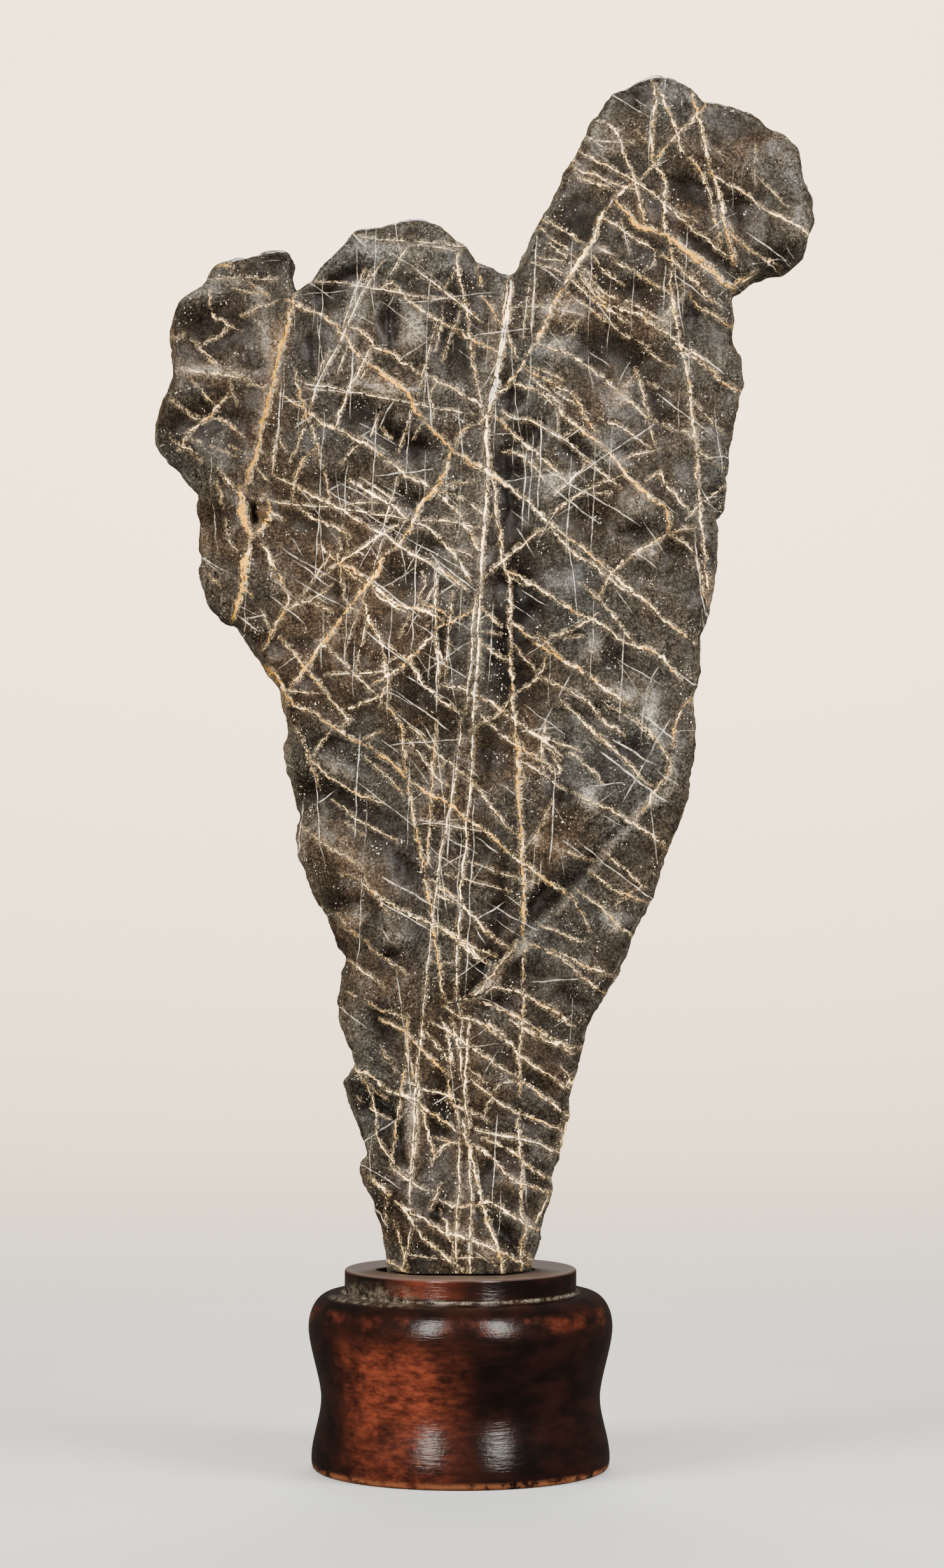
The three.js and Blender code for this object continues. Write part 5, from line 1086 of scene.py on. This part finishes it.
def make_vein_layer():
    """Adds one layer of veins. Layer holds the distance from the vein, half its width and its tint.
    Each vein has a pale halo, wider on one side, and a thin painted shadow along its other side."""
    group, given, out = new_group(
        "vein layer",
        {"Layer": None, "Kink": 0.0, "Fray": 0.0, "Swelling": 1.0, "Gaps": 0.0,
         "Mask": 0.0, "Tint": 0.0, "Halo": 0.0, "Edge": 0.0},
        ["Mask", "Tint", "Halo", "Edge"],
    )
    parts = axes(group, given["Layer"])
    fray = times(group, given["Fray"], plus(group, parts["Y"], 0.16))
    loose = ramp(group, parts["Z"], -0.45, 0.0, 0.2, 1.0)
    stray = times(group, plus(group, given["Kink"], fray), loose)
    side = plus(group, parts["X"], stray)
    half = minus(group, times(group, parts["Y"], given["Swelling"]), given["Gaps"])
    beyond = minus(group, maths(group, "ABSOLUTE", side), half)
    there = maths(group, "GREATER_THAN", parts["Y"], 0.0)
    cover = times(group, ramp(group, beyond, 0.05, -0.05), there)
    cover = times(group, cover, ramp(group, parts["Y"], 0.05, 0.15, 0.65, 1.0))
    group.links.new(maths(group, "MAXIMUM", cover, given["Mask"]), out["Mask"])
    newer = maths(group, "GREATER_THAN", cover, given["Mask"])
    tint = place(group, "ShaderNodeMix", {0: newer, 2: given["Tint"], 3: parts["Z"]}).outputs[0]
    group.links.new(tint, out["Tint"])
    weight = times(group, ramp(group, parts["Y"], 0.0, 0.35, 0.3, 1.0), there)
    pale = times(group, ramp(group, beyond, 1.1, 0.05), ramp(group, side, 0.3, -0.3, 0.45, 1.0))
    group.links.new(maths(group, "MAXIMUM", times(group, pale, weight), given["Halo"]), out["Halo"])
    # A painted shadow along one side of the vein
    dark = times(group, ramp(group, beyond, 0.42, 0.12), ramp(group, side, -0.1, 0.1))
    group.links.new(maths(group, "MAXIMUM", times(group, dark, weight), given["Edge"]), out["Edge"])
    return group


def make_hairlines():
    """Straight hairline veins side by side: each lies in its own lane, and starts and stops along it."""
    group, given, out = new_group(
        "hairlines",
        {"Sight": None, "Lean": 0.0, "Spacing": 3.0, "Width": 0.12, "Length": 30.0, "Share": 0.5,
         "Seed": 0.0},
        ["Mask"],
    )
    turned = place(group, "ShaderNodeVectorRotate", {"Vector": given["Sight"], "Angle": given["Lean"]},
                   rotation_type="Z_AXIS").outputs[0]
    parts = axes(group, turned)
    lanes = maths(group, "DIVIDE", parts["X"], given["Spacing"])
    lane = maths(group, "FLOOR", lanes)
    where = minus(group, minus(group, lanes, lane), 0.5)
    own = place(group, "ShaderNodeCombineXYZ", {0: lane, 1: given["Seed"]}).outputs[0]
    chance = place(group, "ShaderNodeTexWhiteNoise", {"Vector": own}, noise_dimensions="3D").outputs
    drawn = axes(group, chance["Color"])
    offset = times(group, minus(group, drawn["X"], 0.5), 0.8)
    away = maths(group, "ABSOLUTE", minus(group, where, offset))
    away = times(group, away, given["Spacing"])
    ahead = maths(group, "DIVIDE", parts["Y"], given["Length"])
    apart = times(group, lane, 7.31)
    stretch = place(group, "ShaderNodeCombineXYZ", {0: apart, 1: ahead, 2: given["Seed"]}).outputs[0]
    lit = place(group, "ShaderNodeTexNoise", {"Vector": stretch, "Scale": 1.0, "Detail": 1.0}).outputs["Fac"]
    limit = minus(group, 0.75, times(group, given["Share"], 0.5))
    strength = ramp(group, minus(group, lit, limit), 0.0, 0.08)
    half = times(group, given["Width"], plus(group, drawn["Y"], 0.35))
    cover = maths(group, "DIVIDE", minus(group, half, away), 0.12)
    cover = plus(group, cover, 0.5, clamped=True)
    group.links.new(times(group, cover, strength), out["Mask"])
    return group


vein_layer = make_vein_layer()
hairlines = make_hairlines()
cool_stone = (0.0165, 0.0156, 0.0128, 1)
grey_stone = (0.0174, 0.0142, 0.0104, 1)
brown_stone = (0.0180, 0.0120, 0.0072, 1)
vein_halo = (0.10, 0.072, 0.040, 1)
halo_fibre = (0.42, 0.32, 0.18, 1)
vein_shadow = (0.0065, 0.0040, 0.0021, 1)
hairline_calcite = (0.42, 0.36, 0.27, 1)
white_fleck = (0.80, 0.68, 0.48, 1)
grey_calcite = (0.38, 0.32, 0.25, 1)
cream_calcite = (0.95, 0.62, 0.25, 1)
rust_calcite = (0.36, 0.165, 0.012, 1)
pebble_brown = (0.027, 0.0165, 0.009, 1)
painted_crack_shade = (0.005, 0.0035, 0.0025, 1)

# Sets of hairline veins: lean in degrees, then the lanes' spacing, the width and the length in
# millimetres, and the share of each lane that a vein fills
hairline_sets = (
    (3, 2.2, 0.09, 38, 0.22), (-7, 3.6, 0.10, 32, 0.16), (57, 4.2, 0.10, 20, 0.10),
    (-53, 3.0, 0.11, 20, 0.20), (-60, 4.8, 0.11, 26, 0.18), (84, 4.4, 0.08, 22, 0.12),
    (30, 5.6, 0.10, 18, 0.08), (-35, 5.0, 0.10, 16, 0.10),
)


def kept(tree, name):
    """Three numbers that the slab keeps for each of its points."""
    return place(tree, "ShaderNodeAttribute", attribute_name=name).outputs["Vector"]


def veined_limestone():
    """The stone's colour and gloss, with every vein drawn in it."""
    material, tree, shader = new_material("veined limestone")
    at = use_group(tree, in_millimetres, {})["Place"]
    sight = kept(tree, "sight")
    on_pebble = axes(tree, sight)["Z"]
    sheen_shade_stain_hairlines = axes(tree, kept(tree, "sheen_shade_stain_hairlines"))
    tone, stain, hairline_share = sheen_shade_stain_hairlines["X"], sheen_shade_stain_hairlines["Y"], sheen_shade_stain_hairlines["Z"]

    # The dark body of the stone: blue-grey, grey and brown, paler on lumps as painted sheen and darker in
    # hollows as painted shade
    middling = cloud(tree, at, 6, 5, 0.62)
    small = cloud(tree, at, 1.7, 5, 0.7)
    grains = cloud(tree, at, 0.45, 2, 0.6)
    warm = plus(tree, stain, ramp(tree, cloud(tree, at, 9, 4, 0.6), 0.3, 0.7, -0.25, 0.5))
    level = plus(tree, tone, ramp(tree, middling, 0.3, 0.7, -0.2, 0.2))
    level = plus(tree, level, ramp(tree, small, 0.3, 0.7, -0.4, 0.28))
    level = plus(tree, level, ramp(tree, grains, 0.3, 0.7, -0.8, 0.4))
    warp = place(tree, "ShaderNodeTexNoise", {"Vector": at, "Scale": 0.5, "Detail": 3}).outputs["Color"]
    warp = scaled(tree, warp, 3.0)
    warped = place(tree, "ShaderNodeVectorMath", {0: at, 1: warp}, operation="ADD").outputs[0]
    cells = {"Vector": warped, "Scale": 0.4}
    net = place(tree, "ShaderNodeTexVoronoi", cells, feature="DISTANCE_TO_EDGE").outputs[0]
    net = times(tree, ramp(tree, net, 0.05, 0.01), ramp(tree, middling, 0.42, 0.58))
    level = minus(tree, level, times(tree, net, 0.8))
    warm = plus(tree, warm, ramp(tree, level, -1.6, -0.4, 1.0, 0.0))
    body = blend_colour(tree, ramp(tree, warm, -0.7, 0.1), cool_stone, grey_stone)
    body = blend_colour(tree, ramp(tree, warm, 0.1, 0.9), body, brown_stone)
    gain = maths(tree, "POWER", 2.0, times(tree, level, 1.95))
    body = scaled(tree, body, gain)

    # Veins: each layer is laid over those before it, with the same kinks, frayed sides and gaps
    kink = times(tree, minus(tree, cloud(tree, at, 1.8, 2, 0.5), 0.5), 1.7)
    fray = times(tree, minus(tree, cloud(tree, at, 0.5, 3, 0.75), 0.5), 3.2)
    swelling = ramp(tree, cloud(tree, at, 3.0, 4, 0.68), 0.32, 0.68, 0.4, 1.35)
    gaps = ramp(tree, cloud(tree, at, 1.2, 3, 0.7), 0.48, 0.68, 0.0, 0.26)
    mask, tint, halo, edge = 0.0, 0.0, 0.0, 0.0
    for index in range(len(layers)):
        added = use_group(tree, vein_layer, {
            "Layer": kept(tree, f"veins_{index}"),
            "Kink": kink, "Fray": fray, "Swelling": swelling, "Gaps": gaps,
            "Mask": mask, "Tint": tint, "Halo": halo, "Edge": edge,
        })
        mask, tint, halo, edge = added["Mask"], added["Tint"], added["Halo"], added["Edge"]

    # Hairline veins in their lanes, and white flecks in parts
    threads = 0.0
    for number, (lean, spacing, width, length, share) in enumerate(hairline_sets):
        drawn = use_group(tree, hairlines, {
            "Sight": sight, "Lean": math.radians(lean), "Spacing": spacing, "Width": width, "Length": length,
            "Share": plus(tree, share + 0.05, times(tree, hairline_share, 0.2)), "Seed": 3.7 * number + 1,
        })["Mask"]
        threads = maths(tree, "MAXIMUM", threads, drawn)
    threads = times(tree, threads, ramp(tree, cloud(tree, at, 1.8, 3, 0.7), 0.38, 0.62, 0.15, 0.9))
    flecks = times(tree, ramp(tree, cloud(tree, at, 0.42, 2, 0.5), 0.66, 0.72),
                   ramp(tree, cloud(tree, at, 5, 3, 0.6), 0.5, 0.65))

    # From the bottom up: a vein's halo and its fibres, the painted shadow beside it, hairlines, flecks and
    # then the calcite of the veins, from grey through cream to rust
    halo_share = times(tree, halo, ramp(tree, cloud(tree, at, 0.9, 4, 0.75), 0.38, 0.66, 0.1, 0.65))
    colour = blend_colour(tree, halo_share, body, vein_halo)
    fibres = times(tree, halo, ramp(tree, cloud(tree, at, 0.38, 3, 0.7), 0.5, 0.62, 0.0, 1.0))
    colour = blend_colour(tree, fibres, colour, halo_fibre)
    colour = blend_colour(tree, times(tree, edge, 0.95), colour, vein_shadow)
    colour = blend_colour(tree, threads, colour, hairline_calcite)
    colour = blend_colour(tree, flecks, colour, white_fleck)
    wandering_tint = plus(tree, tint, ramp(tree, cloud(tree, at, 4.0, 4, 0.65), 0.35, 0.65, -0.4, 0.75))
    calcite = blend_colour(tree, ramp(tree, wandering_tint, -0.8, 0.0), grey_calcite, cream_calcite)
    calcite = blend_colour(tree, ramp(tree, wandering_tint, 0.0, 1.0), calcite, rust_calcite)
    stained = ramp(tree, cloud(tree, at, 0.8, 4, 0.75), 0.34, 0.6, 0.65, 1.3)
    stained = times(tree, stained, ramp(tree, hairline_share, -0.6, 1.0, 0.58, 1.45))
    colour = blend_colour(tree, mask, colour, scaled(tree, calcite, stained))

    # The pebble, and the open cracks with their painted shade
    colour = blend_colour(tree, ramp(tree, on_pebble, 0.35, 0.6), colour, pebble_brown)
    crack = {"Layer": kept(tree, "cracks"), "Kink": kink, "Fray": fray}
    open_crack = use_group(tree, vein_layer, crack)["Mask"]
    colour = blend_colour(tree, open_crack, colour, painted_crack_shade)
    tree.links.new(colour, shader.inputs["Base Color"])

    # Lumps are rubbed smoother than hollows, and the calcite is duller
    rough = ramp(tree, level, -1.4, 1.0, 0.38, 0.24)
    rough = plus(tree, rough, times(tree, mask, 0.2))
    rough = plus(tree, rough, times(tree, open_crack, 0.3), clamped=True)
    tree.links.new(rough, shader.inputs["Roughness"])
    height = plus(tree, times(tree, small, 0.5), times(tree, mask, 0.35))
    height = minus(tree, height, open_crack)
    bump = place(tree, "ShaderNodeBump", {"Height": height, "Strength": 0.4, "Distance": 0.0003})
    tree.links.new(bump.outputs[0], shader.inputs["Normal"])
    shader.inputs["Specular IOR Level"].default_value = 0.18
    return material


slab.data.materials.clear()
slab.data.materials.append(veined_limestone())
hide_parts("stone")
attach(slab, "root")


# Studio
# The object stands on a pale table that sweeps up into a pale wall behind it. To the left and to the
# right of the camera stand a narrow softbox, which the lacquer mirrors, and a stronger side light. A
# small light hangs overhead, and a wide one washes the wall with warm light.
sweep_width, table_front, wall_top = 6000, -2200, 3000
bend_start, bend_radius, bend_steps = 700, 700, 24
paper, paper_roughness = (0.24, 0.242, 0.232, 1), 0.6


def make_sweep():
    """The table and the wall as one sheet of paper with a round bend between them."""
    profile = [(table_front, 0), (bend_start, 0)]
    for step in range(1, bend_steps + 1):
        angle = math.pi / 2 * step / bend_steps
        profile.append((bend_start + bend_radius * math.sin(angle), bend_radius * (1 - math.cos(angle))))
    profile.append((bend_start + bend_radius, wall_top))
    points = [(side * sweep_width / 2, back, up) for back, up in profile for side in (-1, 1)]
    faces = [(2 * row, 2 * row + 1, 2 * row + 3, 2 * row + 2) for row in range(len(profile) - 1)]
    sweep = make_object("sweep", points, faces)
    material, _, shader = new_material("pale paper")
    shader.inputs["Base Color"].default_value = paper
    shader.inputs["Roughness"].default_value = paper_roughness
    sweep.data.materials.append(material)
    sweep.visible_glossy = False


def make_lamp(name, azimuth, elevation, distance, size, power, aim_height, tint=(1, 1, 1), mirrored=True):
    """A soft light aimed at the object's axis. Its angles are in degrees from the camera's direction, its
    distance, size and aim in metres, its power in watts. One that isn't mirrored lights the object, but
    isn't seen in its gloss."""
    light = bpy.data.lights.new(name, "AREA")
    light.shape = "RECTANGLE"
    light.size, light.size_y = size
    light.energy = power
    light.color = tint
    holder = bpy.data.objects.new(name, light)
    turn, tilt = math.radians(azimuth), math.radians(elevation)
    aim = Vector((0, 0, aim_height))
    out, up = distance * math.cos(tilt), distance * math.sin(tilt)
    holder.location = aim + Vector((out * math.sin(turn), -out * math.cos(turn), up))
    holder.rotation_euler = (aim - holder.location).to_track_quat("-Z", "Y").to_euler()
    holder.visible_camera = False
    holder.visible_glossy = mirrored
    bpy.context.scene.collection.objects.link(holder)


make_sweep()
make_lamp("left softbox", -25, 27, 1.3, (0.24, 0.8), 12, 0.12, (1.0, 0.94, 0.86))
make_lamp("right softbox", 31, 27, 1.3, (0.24, 0.8), 12, 0.12, (1.0, 0.95, 0.89))
make_lamp("left side light", -57, 28, 1.3, (0.6, 0.9), 104, 0.14, (1.0, 0.98, 0.95), mirrored=False)
make_lamp("right side light", 60, 24, 1.3, (0.6, 0.9), 99, 0.14, (0.98, 0.98, 1.0), mirrored=False)
make_lamp("overhead", 178, 60, 1.3, (0.4, 0.3), 22, 0.1)
make_lamp("wall wash", 180, 55, 1.6, (2.4, 0.5), 360, 0.1, (1.0, 0.70, 0.38))
wall_wash_tilt = math.radians(62)
bpy.data.objects["wall wash"].rotation_euler = (wall_wash_tilt, 0, 0)

# The room is dim, so that the dark stone keeps its blacks, but seen past the wall it is pale
dim_room, pale_room = (0.07, 0.06, 0.05, 1), (3.6, 2.6, 1.6, 1)
room = bpy.data.worlds.new("room")
bpy.context.scene.world = room
room.use_nodes = True
sky = room.node_tree
path = place(sky, "ShaderNodeLightPath").outputs["Is Camera Ray"]
seen_tone = blend_colour(sky, path, dim_room, pale_room)
sky.links.new(seen_tone, sky.nodes["Background"].inputs["Color"])


# Camera
# It stands level with the lower part of the stone, three quarters of a metre away, and is framed
# upwards so that the whole stone is in the picture.
photo_width, photo_height = 1484, 2464
film = 36
lens = bpy.data.cameras.new("eye")
lens.sensor_width = film
lens.lens = film * eye_distance / (photo_height * pixel)
lens.shift_x = (photo_width / 2 - eye_x) / photo_height
lens.shift_y = (eye_y - photo_height / 2) / photo_height
lens.clip_end = 20
viewer = bpy.data.objects.new("viewer", lens)
eye = Vector(((eye_x - photo_axis) * pixel, -eye_distance, (photo_floor - eye_y) * pixel))
viewer.location = eye * millimetre
viewer.rotation_euler = (math.radians(90), 0, 0)
bpy.context.scene.collection.objects.link(viewer)
bpy.context.scene.camera = viewer
